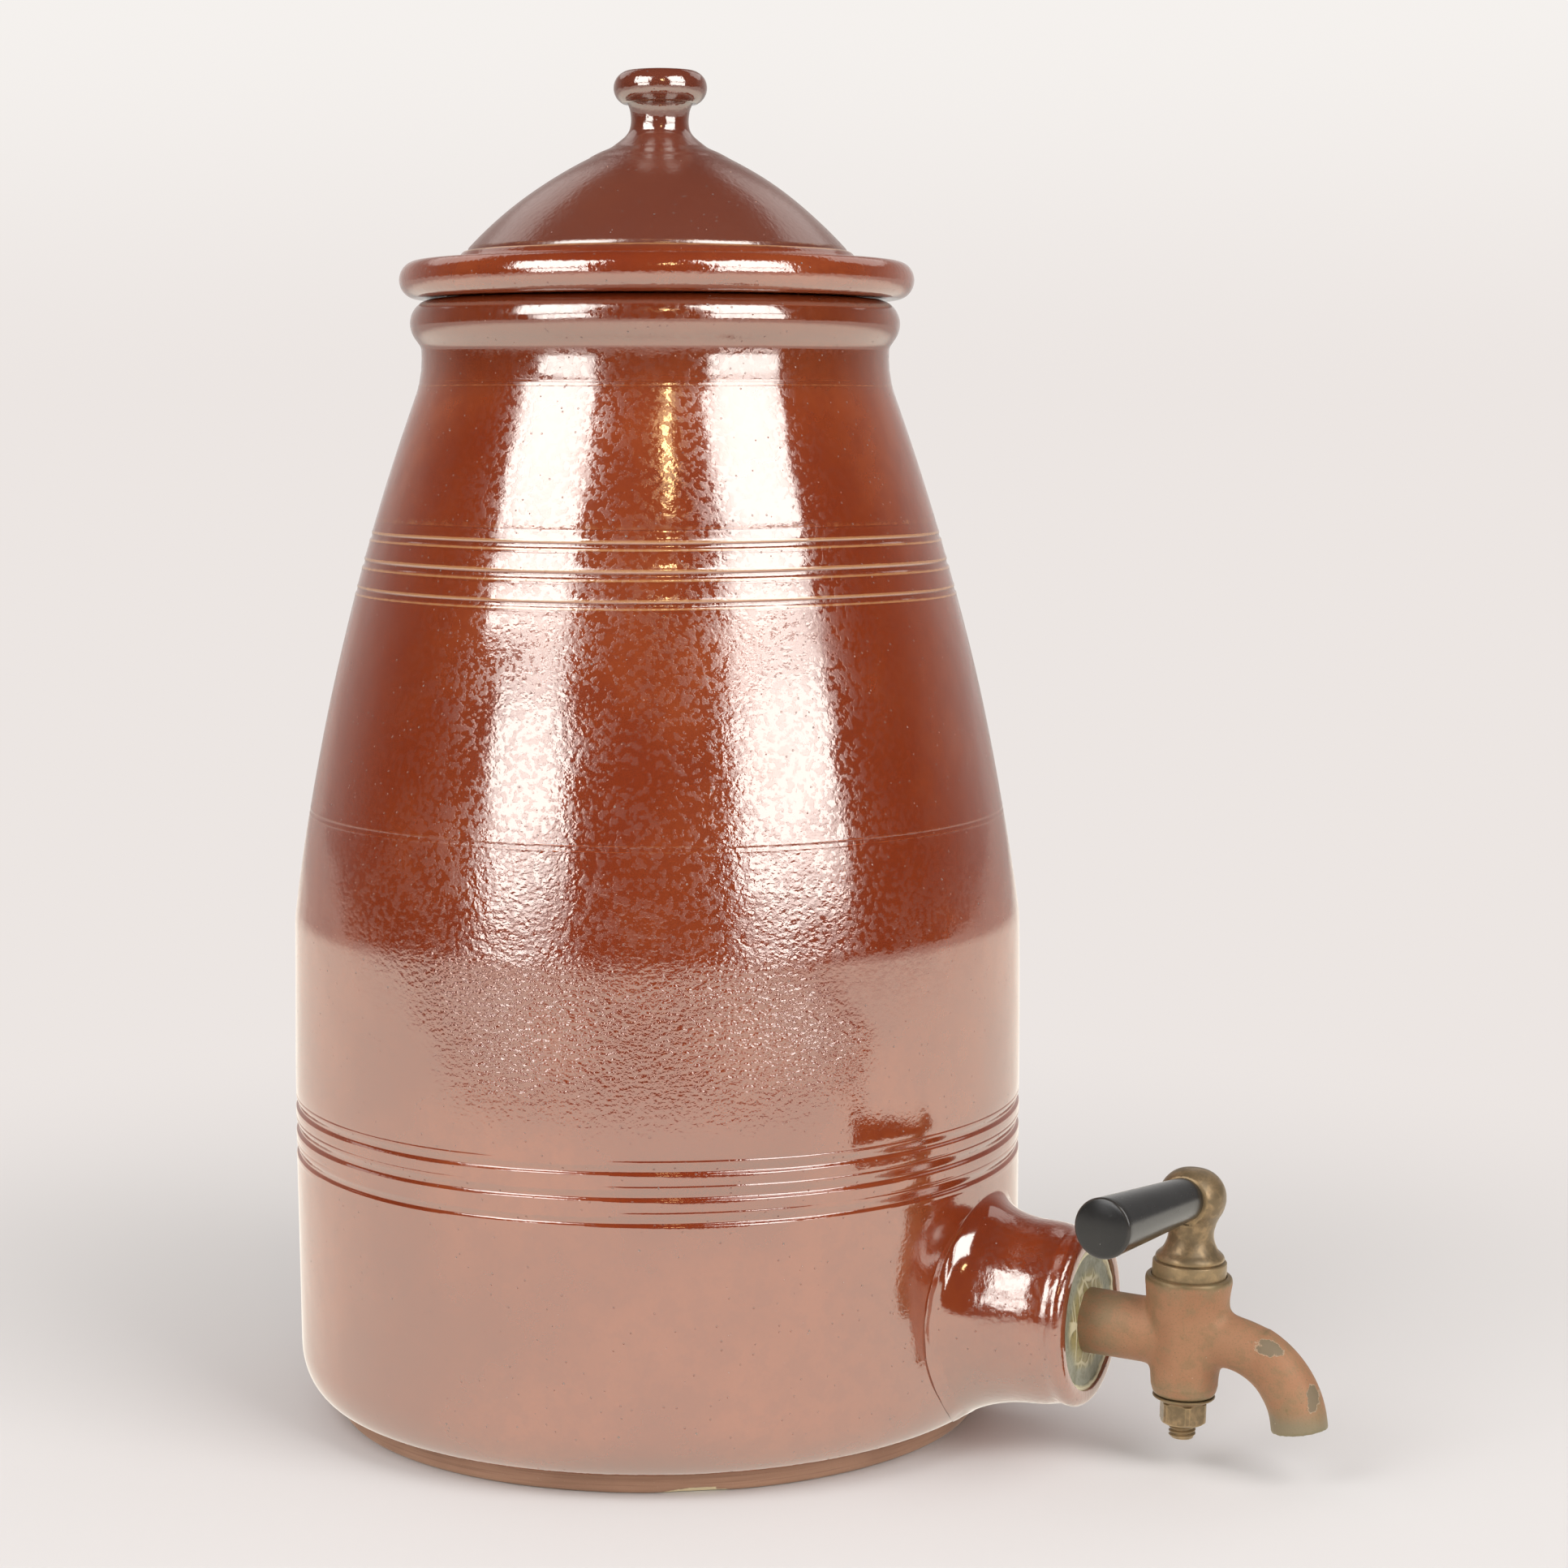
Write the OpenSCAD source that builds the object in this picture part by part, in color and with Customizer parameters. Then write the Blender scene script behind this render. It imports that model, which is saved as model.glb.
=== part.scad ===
// Glazed clay water pot with a brass plug tap and a loose lid.
// Millimetres. The origin is the centre of the foot, on the surface that the
// pot stands on; +Z is up and +X points out through the tap.

/* [Pot] */
// Largest outside radius of the belly
belly_r = 115.7; // [100:0.1:140]
// How much the belly draws in towards its two ends
belly_bow = 0.6; // [0:0.1:3]
// Radius of the foot
foot_r = 102.8; // [90:0.1:108]
// Height of the unglazed foot
foot_h = 6.7; // [4:0.1:10]
// How far the body stands out over the foot
foot_step = 2; // [1:0.1:4]
// Height of the rounded corner between foot and belly
corner_h = 15.5; // [10:0.5:24]
// Height of the near-straight belly
belly_h = 139; // [110:1:220]
// Height of the sloping shoulder
shoulder_h = 160; // [100:1:240]
// How far the shoulder swells out from a straight cone
shoulder_bow = 4.3; // [1:0.1:10]
// Height from the end of the shoulder to the narrowest part of the neck
neck_h = 12; // [8:0.5:20]
// Outside radius at the narrowest part of the neck
neck_r = 73.2; // [60:0.1:85]
// Radius of the hollow curve that leads into the neck
neck_curve_r = 35; // [25:1:60]
// How far the rim bead stands out from the neck
rim_out = 3.4; // [1.5:0.1:6]
// Height from the narrowest part of the neck up to the rim bead
rim_rise = 3; // [1:0.5:8]
// Half the height of the rim bead
rim_half_h = 7.5; // [5:0.1:10]
// Half the width of the rim bead
rim_half_w = 7; // [5:0.1:8]
// Rounding of the inner edge of the mouth
mouth_round = 2; // [1:0.5:3]
// Thickness of the clay wall
wall = 9; // [6:0.1:11]
// Thickness of the floor
floor_t = 12; // [8:0.5:20]
// Radius of the curve between wall and floor inside
floor_curve_r = 16; // [8:1:30]

/* [Turned lines] */
// Width of a turned line
line_w = 1.6; // [0.8:0.1:3]
// Depth of a turned line
line_depth = 0.5; // [0.2:0.1:1]
// Lines in each group
line_count = 3; // [1:1:5]
// Spacing of the lines on the shoulder
shoulder_line_gap = 8.4; // [5:0.1:14]
// Distance from the narrowest part of the neck down to the first line
shoulder_line_drop = 55.5; // [40:0.5:80]
// Spacing of the lines on the belly
belly_line_gap = 7.5; // [5:0.1:14]
// Height of the lowest belly line above the table
belly_line_z = 84.3; // [80:0.1:120]

/* [Tap boss] */
// How far the boss stands out from the belly
boss_out = 33.3; // [24:0.1:45]
// Height of the hole in the boss above the table
tap_z = 42; // [40:0.5:70]
// How far the boss sits above the middle of its hole
boss_rise = 0.8; // [0:0.1:3]
// Radius of the boss at its waist
boss_waist_r = 28.1; // [25.5:0.1:32]
// Radius of the boss at its lip
boss_lip_r = 27.3; // [26.6:0.1:34]
// Radius of the trumpet foot of the boss, where it meets the belly
boss_root_r = 36; // [33:0.5:36.5]
// Length of the trumpet foot
boss_root_l = 21; // [8:0.5:24]
// Rounding of the lip
boss_lip_round = 3.2; // [1:0.1:4]
// Radius of the socket that the sealing compound fills
socket_r = 22.2; // [18:0.1:23]
// Depth of that socket
socket_l = 27; // [16:0.5:30]
// How far the sealing compound sits behind the face of the boss
seal_back = 0.6; // [0.2:0.1:2]
// Radius of the hole through the wall behind the socket
wall_hole_r = 13; // [11:0.5:16]

/* [Tap body] */
// Distance from the face of the boss to the plug
plug_out = 30.2; // [26:0.1:45]
// How far the tap leans down, in degrees, as it was set by hand
tap_droop = 1.8; // [0:0.1:3]
// Radius of the shank
shank_r = 9.9; // [8:0.1:11]
// Length of the shank inside the pot, behind the sealing compound
tail_l = 10; // [4:0.5:20]
// Radius of the waterway
water_r = 5.5; // [3:0.1:6]
// Radius of the barrel at its top
barrel_top_r = 13.1; // [12.6:0.1:16]
// Radius of the barrel at its bottom
barrel_end_r = 9.75; // [8.6:0.05:11]
// Height of the barrel above the waterway
barrel_up = 19; // [16:0.5:26]
// Height of the barrel below the waterway
barrel_down = 18; // [14:0.5:24]
// Rounding of the two ends of the barrel
barrel_round = 0.7; // [0.3:0.1:1]
// Radius of the spout
spout_r = 8.2; // [7.6:0.1:9.5]
// Height of the spout above the waterway, at the plug
spout_rise = 2.3; // [0:0.1:3]
// Distance from the plug to the start of the spout's bend
spout_start = 15; // [15:0.5:30]
// Slope of the spout, in degrees, before its bend
spout_slope = 8; // [0:1:15]
// Radius of the spout's bend
spout_bend_r = 26; // [14:0.5:34]
// Slope of the spout, in degrees, at its outlet
spout_end_slope = 80; // [60:1:90]
// Length of the straight end of the spout
spout_end_l = 2; // [1:0.5:12]
// Length of the cast fillet where shank and spout meet the barrel
fillet_l = 4; // [2:0.25:4.25]

/* [Plug] */
// Radius of the tapered hole in the barrel, at the top
taper_top_r = 9.3; // [8.4:0.1:10]
// Radius of the tapered hole in the barrel, at the bottom
taper_end_r = 6.6; // [5.8:0.1:7.2]
// Running clearance round the tapered plug
plug_gap = 0.05; // [0.02:0.01:0.1]
// Radius of the collar over the barrel
collar_r = 11.1; // [10.6:0.1:11.6]
// Clearance round and under the collar
collar_gap = 0.3; // [0.2:0.05:0.5]
// Depth of the seat of the collar in the top of the barrel
collar_seat = 2.2; // [1:0.1:3]
// Height of the collar above the barrel
collar_h = 4.3; // [2:0.1:7]
// Height of the rounded shoulder and neck over the collar
throat_h = 8.4; // [6:0.1:12]
// Radius of the neck under the head
throat_r = 6.8; // [5:0.1:8]
// Radius of the rounded head
head_r = 10.2; // [9.4:0.1:12]
// Height of the middle of the head above the neck
head_rise = 11.1; // [9:0.1:13]
// Height of the head above its middle
head_up = 8.6; // [7:0.1:10]
// Radius of the threaded end under the plug
end_r = 4.05; // [3:0.05:5]
// Length of the threaded end below the nut
end_l = 4.7; // [2:0.1:8]

/* [Washer and nut] */
// Radius of the top of the washer
washer_r = 9.4; // [8:0.1:11]
// Radius of the bottom of the washer
washer_low_r = 7.6; // [7:0.1:9]
// Thickness of the washer
washer_h = 1.7; // [1:0.1:4]
// Gap between washer and barrel
washer_gap = 0.1; // [0.05:0.05:0.3]
// Width of the nut across its flats
nut_w = 13; // [12:0.5:16]
// Height of the nut
nut_h = 6.9; // [4:0.1:9]
// Height of the chamfer on the corners of the nut
nut_chamfer = 1.5; // [0.5:0.1:2]

/* [Grip] */
// Length of the grip from its seat on the head
grip_l = 55.6; // [40:0.1:57]
// Radius of the grip at the head
grip_root_r = 6.6; // [5.5:0.1:7.4]
// Radius of the grip at its outer end
grip_end_r = 8.8; // [7:0.1:10]
// Rise of the grip, in degrees
grip_rise = 3.2; // [0:0.1:5]
// How far the grip is turned past square to the spout, in degrees
grip_turn = 5.5; // [0:0.5:8]
// Distance from the middle of the head to the seat of the grip
grip_seat = 6.7; // [6:0.1:8]
// Radius of the stud inside the grip
stud_r = 2.5; // [2:0.1:3.5]
// Length of the stud inside the head
stud_in_head = 7; // [4:0.5:9]
// Length of the stud inside the grip
stud_in_grip = 30; // [15:1:36]

/* [Lid] */
// How far the lid's edge stands out past the rim bead
lid_over = 3.8; // [0:0.1:8]
// Half the thickness of the lid's edge
lid_edge_half_h = 5.8; // [4:0.1:8]
// How far the rounded edge reaches in
lid_edge_w = 5.5; // [3:0.1:8]
// Radius of the foot of the dome
dome_r = 60; // [50:0.5:66]
// Height of the step from the edge up to the foot of the dome
dome_step = 2.9; // [1:0.1:5]
// Height of the dome
dome_h = 29; // [20:0.5:40]
// Radius of the top of the dome
dome_top_r = 22; // [18:0.5:30]
// How far the dome swells out from a straight cone
dome_bow = 2.2; // [0.5:0.1:5]
// Thickness of the lid
lid_t = 7.5; // [5:0.1:9]
// Clearance between lid and rim
lid_gap = 0.2; // [0.1:0.05:0.5]
// Clearance between the ring under the lid and the mouth
lid_ring_gap = 2.4; // [1:0.1:4]
// Width of the ring under the lid
lid_ring_w = 6; // [4:0.5:9]
// Depth of the ring under the lid
lid_ring_h = 8; // [4:0.5:14]
// Radius of the neck of the knob
knob_neck_r = 9.1; // [7:0.1:12]
// Radius of the knob
knob_r = 14.6; // [12:0.1:20]
// Height from the top of the dome to the middle of the knob's neck
knob_neck_h = 11; // [8:0.5:16]
// Height from the middle of the knob's neck to the middle of the knob
knob_h = 10.6; // [9:0.1:16]
// Half the thickness of the knob
knob_half_t = 5.4; // [4:0.1:6]

/* [Hidden] */

$fn = 96;
over = 1; // how far a cutter runs past the face that it cuts
arc_step = 7.5; // degrees between the points of a rounded outline
edge_cut = 1; // chamfer on the edges of fired clay
turned_cut = 0.3; // chamfer on the edges of turned brass

glaze = [0.45, 0.16, 0.09];
old_brass = [0.62, 0.40, 0.28];
worn_brass = [0.50, 0.42, 0.22];
putty = [0.55, 0.53, 0.42];
ebonite = [0.10, 0.10, 0.11];

// Heights of the pot, from the foot up
corner_z = foot_h + corner_h;
belly_top_z = corner_z + belly_h;
belly_mid_z = (corner_z + belly_top_z) / 2;
neck_start_z = belly_top_z + shoulder_h;
neck_z = neck_start_z + neck_h;
rim_r = neck_r + rim_out;
rim_z = neck_z + rim_rise + rim_half_h;
rim_top_z = rim_z + rim_half_h;
mouth_r = neck_r - wall;

// The shoulder is an arc through its two ends
shoulder_low_r = belly_x(belly_top_z);
shoulder_top_r = neck_x(neck_start_z);
shoulder_chord = norm([shoulder_low_r - shoulder_top_r, shoulder_h]);
shoulder_arc_r = arc_radius(shoulder_chord, shoulder_bow);
shoulder_centre = arc_centre([shoulder_low_r, belly_top_z], [shoulder_top_r, neck_start_z],
                             shoulder_bow);

// The tap, from the face of the boss out
face_x = belly_r + boss_out;
boss_z = tap_z + boss_rise;
seat_x = face_x - socket_l;
cavity_r = belly_r - wall;
collar_floor = barrel_up - collar_seat;
collar_top = barrel_up + collar_h;
throat_z = collar_top + throat_h;
head_z = throat_z + head_rise;
nut_top = -barrel_down - washer_gap - washer_h;
nut_low = nut_top - nut_h;
end_low = nut_low - end_l;
bend_turn = spout_end_slope - spout_slope;

// The lid, from the rim up
lid_z = rim_top_z + lid_gap;
lid_r = rim_r + lid_over;
lid_ring_r = mouth_r - lid_ring_gap;
edge_mid_z = lid_z + lid_edge_half_h;
edge_top_z = edge_mid_z + lid_edge_half_h;
dome_z = edge_top_z + dome_step;
dome_top_z = dome_z + dome_h;
knob_neck_z = dome_top_z + knob_neck_h;
knob_z = knob_neck_z + knob_h;

// Radius of an arc with this chord and rise
function arc_radius(chord, rise) = chord * chord / (8 * rise) + rise / 2;

// Centre of an arc from a up to b that swells outwards by the given rise
function arc_centre(a, b, rise) =
    let (chord = norm(b - a), out = [b[1] - a[1], a[0] - b[0]] / chord)
    (a + b) / 2 - out * (arc_radius(chord, rise) - rise);

// Points of an elliptic arc
function arc(centre, half_w, half_h, from, to) =
    let (count = ceil(abs(to - from) / arc_step))
    [for (i = [0:count]) let (a = from + (to - from) * i / count)
        [centre[0] + half_w * cos(a), centre[1] + half_h * sin(a)]];

// Points of the arc from a up to b that swells outwards by the given rise
function swell(a, b, rise, count) =
    let (radius = arc_radius(norm(b - a), rise), centre = arc_centre(a, b, rise))
    [for (i = [0:count]) let (z = a[1] + (b[1] - a[1]) * i / count)
        [centre[0] + sqrt(radius * radius - pow(z - centre[1], 2)), z]];

// The same points in the opposite order
function backwards(points) = [for (i = [len(points) - 1:-1:0]) points[i]];

// Outside radius of the pot at a height on the belly, shoulder and neck
function belly_x(z) = belly_r - belly_bow * pow((z - belly_mid_z) * 2 / belly_h, 2);
function shoulder_x(z) =
    shoulder_centre[0] + sqrt(pow(shoulder_arc_r, 2) - pow(z - shoulder_centre[1], 2));
function neck_x(z) = neck_r + neck_curve_r - sqrt(pow(neck_curve_r, 2) - pow(z - neck_z, 2));
function pot_x(z) =
    z < belly_top_z ? belly_x(z) : z < neck_start_z ? shoulder_x(z) : neck_x(z);

// Outline of the wall from a corner at the bottom up to the neck, moved in by an inset
function side(from_z, inset) = concat(
    [for (i = [0:6]) let (z = from_z + (belly_top_z - from_z) * i / 6)
        [belly_x(z) - inset, z]],
    [for (i = [1:12]) let (z = belly_top_z + shoulder_h * i / 12) [pot_x(z) - inset, z]],
    [for (i = [1:4]) let (z = neck_start_z + neck_h * i / 4) [pot_x(z) - inset, z]]);

// Solid of the pot before it is hollowed
module pot_outside() {
    step_r = foot_r + foot_step;
    bead = [rim_r - rim_half_w, rim_z];
    rotate_extrude()
        polygon(concat(
            [[0, 0], [foot_r - edge_cut, 0], [foot_r, edge_cut], [foot_r, foot_h],
             [step_r, foot_h]],
            arc([step_r, corner_z], belly_x(corner_z) - step_r, corner_h, -80, -8),
            side(corner_z, 0),
            arc(bead, rim_half_w, rim_half_h, -45, 90),
            [[0, rim_top_z]]));
}

// Space inside the pot
module pot_inside() {
    curve_z = floor_t + floor_curve_r;
    curve = [belly_x(curve_z) - wall - floor_curve_r, curve_z];
    lip_r = mouth_r + mouth_round;
    rotate_extrude()
        polygon(concat(
            [[0, floor_t]],
            arc(curve, floor_curve_r, floor_curve_r, -90, -15),
            side(curve_z, wall),
            arc([lip_r, rim_top_z - mouth_round], mouth_round, mouth_round, 180, 90),
            [[lip_r, rim_top_z + over], [0, rim_top_z + over]]));
}

// Thrown boss for the tap, along +X
module boss_outside() {
    root_x = belly_r - 4; // the trumpet foot starts a little inside the belly
    start_x = cavity_r - 10; // and the boss inside the cavity, which is cut out later
    root_rise = boss_root_r - boss_waist_r;
    translate([0, 0, boss_z])
        rotate([0, 90, 0])
            rotate_extrude()
                polygon(concat(
                    [[0, start_x], [boss_root_r, start_x]],
                    arc([boss_root_r, root_x + boss_root_l], root_rise, boss_root_l, 270, 180),
                    arc([boss_lip_r - boss_lip_round, face_x - boss_lip_round],
                        boss_lip_round, boss_lip_round, 0, 90),
                    [[0, face_x]]));
}

// Shallow turned line round the pot at a height
module turned_line(z) {
    rotate_extrude()
        polygon([[pot_x(z) - line_depth, z - line_w / 4],
                 [pot_x(z) - line_depth, z + line_w / 4],
                 [pot_x(z) + over, z + line_w],
                 [pot_x(z) + over, z - line_w]]);
}

// Cylinder along +X from one place to another
module along_x(from_x, to_x, r) {
    translate([from_x, 0, 0])
        rotate([0, 90, 0])
            cylinder(h = to_x - from_x, r = r);
}

// The pot itself, thrown and glazed as one piece with its boss
module pot_jar() {
    color(glaze)
        difference() {
            union() {
                pot_outside();
                boss_outside();
            }
            pot_inside();
            translate([0, 0, tap_z]) {
                along_x(seat_x, face_x + over, socket_r);
                along_x(0, seat_x + over, wall_hole_r);
            }
            for (i = [0:line_count - 1]) {
                turned_line(neck_z - shoulder_line_drop - i * shoulder_line_gap);
                turned_line(belly_line_z + i * belly_line_gap);
            }
        }
}

// The loose lid: a domed cover with a knob and a locating ring under it
module lid() {
    inner_r = lid_ring_r - lid_ring_w;
    roof_r = dome_top_r - 3;
    roof_z = dome_top_z - lid_t;
    knob_edge = [knob_r - knob_half_t, knob_z];
    knob_crown = 0.4;
    flare = [2, 5]; // width and height of the hollow between neck and knob
    color(glaze)
        rotate_extrude()
            polygon(concat(
                [[inner_r, lid_z - lid_ring_h],
                 [lid_ring_r - edge_cut, lid_z - lid_ring_h],
                 [lid_ring_r, lid_z - lid_ring_h + edge_cut],
                 [lid_ring_r, lid_z]],
                arc([lid_r - lid_edge_w, edge_mid_z], lid_edge_w, lid_edge_half_h, -90, 90),
                swell([dome_r, dome_z], [dome_top_r, dome_top_z], dome_bow, 8),
                arc([dome_top_r, knob_neck_z], dome_top_r - knob_neck_r,
                    knob_neck_z - dome_top_z, 262, 180),
                arc([knob_neck_r + flare[0], knob_neck_z + edge_cut], flare[0], flare[1],
                    180, 120),
                arc(knob_edge, knob_half_t, knob_half_t, -80, 75),
                [[0, knob_z + knob_half_t + knob_crown]],
                [[0, roof_z], [roof_r, roof_z]],
                backwards(swell([inner_r - edge_cut, edge_mid_z],
                                [roof_r + 2 * edge_cut, roof_z - edge_cut],
                                dome_bow, 6))));
}

// Places the tap's own frame in the boss: plug along +Z, waterway along X
module on_tap() {
    translate([face_x, 0, tap_z])
        rotate([0, tap_droop, 0])
            translate([plug_out, 0, 0])
                children();
}

// Bare cylinder of the shank, along X in the tap's frame, run on past its end
module shank(r, past) {
    along_x(-plug_out - socket_l - tail_l - past, 0, r);
}

// The sealing compound that holds the tap in its socket
module tap_seal() {
    color(putty)
        difference() {
            translate([0, 0, tap_z])
                along_x(seat_x, face_x - seal_back, socket_r);
            on_tap()
                shank(shank_r, over);
        }
}

// Bar of radius r that leaves the barrel along +X through a cast fillet
module cast_bar(r, length) {
    flare = fillet_l * 0.6; // a fillet rises less than it is long
    reach = barrel_end_r + over;
    rotate([0, 90, 0])
        rotate_extrude()
            polygon(concat(
                [[0, 0], [r + flare, 0]],
                arc([r + flare, reach + fillet_l], flare, fillet_l, 270, 180),
                [[r, length], [0, length]]));
}

// Places the spout's frame in the tap's, with the spout along +X
module on_spout() {
    translate([0, 0, spout_rise])
        rotate([0, spout_slope, 0])
            children();
}

// Bend and straight end of the spout, for a bar of radius r run on past its end.
// The bend is a hair thinner than the straight stretches, and runs into both.
module spout_bend(r, past) {
    lap = 1;
    thinner = 0.05;
    lap_turn = 360 * lap / (2 * PI * spout_bend_r);
    $fn = 48;
    translate([spout_start, 0, -spout_bend_r])
        rotate([90, 0, 0]) {
            rotate([0, 0, 90 - bend_turn])
                rotate_extrude(angle = bend_turn + lap_turn)
                    translate([spout_bend_r, 0])
                        circle(r = r - thinner);
            rotate([0, 0, -bend_turn])
                translate([-lap, spout_bend_r, 0])
                    rotate([0, 90, 0])
                        cylinder(h = lap + spout_end_l + past, r = r);
        }
}

// Tapered hole for the plug, grown by a clearance
module taper(clearance) {
    translate([0, 0, -barrel_down])
        cylinder(h = barrel_down + collar_floor, r1 = taper_end_r - clearance,
                 r2 = taper_top_r - clearance);
}

// Cast body of the tap: shank, barrel and spout
module tap_body() {
    $fn = 64;
    barrel = [[0, -barrel_down], [barrel_end_r - barrel_round, -barrel_down],
              [barrel_end_r, barrel_round - barrel_down]];
    color(old_brass)
        on_tap()
            difference() {
                union() {
                    rotate([0, 0, 180])
                        cast_bar(shank_r, plug_out + socket_l + tail_l);
                    rotate_extrude()
                        polygon(concat(barrel,
                            arc([barrel_top_r - barrel_round, barrel_up - barrel_round],
                                barrel_round, barrel_round, 0, 90),
                            [[0, barrel_up]]));
                    on_spout() {
                        cast_bar(spout_r, spout_start);
                        spout_bend(spout_r, 0);
                    }
                }
                taper(0);
                translate([0, 0, -barrel_down - over])
                    cylinder(h = over * 2, r = taper_end_r);
                translate([0, 0, collar_floor])
                    cylinder(h = collar_seat + over, r = collar_r + collar_gap);
                shank(water_r, over);
                on_spout() {
                    along_x(0, spout_start, water_r);
                    spout_bend(water_r, over);
                }
            }
}

// Places the grip's frame on the head, with the grip along +X
module on_head() {
    translate([0, 0, head_z])
        rotate([0, 0, -90 - grip_turn])
            rotate([0, -grip_rise, 0])
                children();
}

// Turned plug: tapered valve with its port, collar, neck, head and threaded end
module tap_plug() {
    shoulder = [1.7, 2.5]; // width and height of the rounding over the collar
    low_hollow = 3; // width of the hollow under the neck
    high_hollow = 4; // width of the hollow over the neck
    seat_r = head_r - 2; // radius of the flat seat for the grip
    end_cut = 0.8; // chamfer on the threaded end
    color(worn_brass)
        on_tap()
            difference() {
                union() {
                    intersection() {
                        taper(plug_gap);
                        translate([0, 0, -barrel_down + washer_gap])
                            cylinder(h = barrel_down + barrel_up, r = barrel_top_r);
                    }
                    rotate_extrude()
                        polygon(concat(
                            [[0, collar_floor - over], [taper_end_r, collar_floor - over],
                             [taper_end_r, collar_floor + collar_gap],
                             [collar_r - turned_cut, collar_floor + collar_gap],
                             [collar_r, collar_floor + collar_gap + turned_cut],
                             [collar_r, collar_top - turned_cut],
                             [collar_r - turned_cut, collar_top]],
                            arc([collar_r - turned_cut - shoulder[0], collar_top],
                                shoulder[0], shoulder[1], 20, 65),
                            arc([throat_r + low_hollow, throat_z], low_hollow,
                                throat_h * 0.6, 240, 180),
                            arc([throat_r + high_hollow, throat_z], high_hollow,
                                head_rise * 0.5, 180, 140),
                            arc([0, head_z], head_r, head_r, -36, 0),
                            arc([head_r - head_up, head_z], head_up, head_up, 8, 90),
                            [[0, head_z + head_up]]));
                    translate([0, 0, end_low])
                        cylinder(h = -end_low - barrel_down + 2, r = end_r);
                }
                rotate([0, 0, -90 - grip_turn])
                    along_x(-taper_top_r - over, taper_top_r + over, water_r);
                on_head() {
                    along_x(grip_seat, head_r + over, seat_r);
                    along_x(grip_seat - stud_in_head, grip_seat + over, stud_r);
                }
                translate([0, 0, end_low])
                    rotate_extrude()
                        polygon([[end_r - end_cut - over, -over], [end_r + over, -over],
                                 [end_r + over, end_cut + over]]);
            }
}

// Washer under the barrel
module plug_washer() {
    color(old_brass)
        on_tap()
            translate([0, 0, nut_top])
                difference() {
                    cylinder(h = washer_h, r1 = washer_low_r, r2 = washer_r);
                    translate([0, 0, -over])
                        cylinder(h = washer_h + 2 * over, r = end_r);
                }
}

// Six-sided nut that holds the plug down
module plug_nut() {
    corner = nut_w / sqrt(3);
    color(worn_brass)
        on_tap()
            translate([0, 0, nut_low])
                difference() {
                    intersection() {
                        cylinder(h = nut_h, r = corner, $fn = 6);
                        cylinder(h = nut_h, r1 = corner - nut_chamfer,
                                 r2 = corner - nut_chamfer + nut_h);
                    }
                    translate([0, 0, -over])
                        cylinder(h = nut_h + 2 * over, r = end_r);
                }
}

// Plain stud that carries the grip
module grip_stud() {
    color(worn_brass)
        on_tap()
            on_head()
                along_x(grip_seat - stud_in_head, grip_seat + stud_in_grip, stud_r);
}

// Tapered grip
module grip() {
    root_cut = 0.4;
    edge = 0.9; // rounding of the outer end
    crown = 0.7; // how far the outer end is domed
    color(ebonite)
        on_tap()
            on_head()
                translate([grip_seat, 0, 0])
                    difference() {
                        rotate([0, 90, 0])
                            rotate_extrude()
                                polygon(concat(
                                    [[0, 0], [grip_root_r - root_cut, 0],
                                     [grip_root_r, root_cut]],
                                    arc([grip_end_r - edge, grip_l - edge], edge, edge, 0, 75),
                                    [[grip_end_r / 2, grip_l + crown * 0.75],
                                     [0, grip_l + crown]]));
                        along_x(-over, stud_in_grip, stud_r);
                    }
}

pot_jar();
lid();
tap_seal();
tap_body();
tap_plug();
plug_washer();
plug_nut();
grip_stud();
grip();
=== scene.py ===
"""Dresses the packed clay water pot: salt glaze, tarnished brass, black grip, in a plain studio.

The packed model is loaded as the fixed frame. Each operator builds one piece, or a group of like
pieces, in metres and in the frame's own axes: +Z up, +X out through the tap.
"""

import math

import bmesh
import bpy
from mathutils import Matrix, Vector, noise


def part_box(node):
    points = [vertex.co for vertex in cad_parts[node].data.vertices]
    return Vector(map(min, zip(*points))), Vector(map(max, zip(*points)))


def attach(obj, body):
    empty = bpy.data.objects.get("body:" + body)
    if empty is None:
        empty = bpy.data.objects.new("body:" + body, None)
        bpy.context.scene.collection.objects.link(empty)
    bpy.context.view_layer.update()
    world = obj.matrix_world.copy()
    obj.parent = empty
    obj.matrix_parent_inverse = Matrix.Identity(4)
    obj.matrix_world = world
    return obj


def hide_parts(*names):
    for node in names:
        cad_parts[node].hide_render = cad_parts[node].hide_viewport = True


bl_info = {
    "name": "Clay water pot",
    "version": (1, 0, 0),
    "blender": (4, 5, 0),
    "location": "View3D > Sidebar > Water pot",
    "description": "Builds the looks of a glazed water pot with a brass plug tap",
    "category": "Object",
}

MM = 0.001
FULL_TURN = 2 * math.pi
# Vertices closer than this are merged
MERGE = 0.002 * MM
# Vertices closer than this to a cutting plane lie on it
ON_PLANE = 0.001 * MM
# Turn of the photograph's camera about Z, in degrees
VIEW_TURN = 26

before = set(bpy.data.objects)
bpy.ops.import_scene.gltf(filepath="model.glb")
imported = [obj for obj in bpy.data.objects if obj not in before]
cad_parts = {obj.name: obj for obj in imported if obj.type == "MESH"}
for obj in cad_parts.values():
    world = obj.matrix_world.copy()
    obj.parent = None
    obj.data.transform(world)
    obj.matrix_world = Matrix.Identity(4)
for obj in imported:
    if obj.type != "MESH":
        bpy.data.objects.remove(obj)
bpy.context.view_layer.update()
POT_LOW, POT_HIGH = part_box("pot_jar")
LID_LOW, LID_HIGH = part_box("lid")


# Sizes and colours that a user would change


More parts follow.
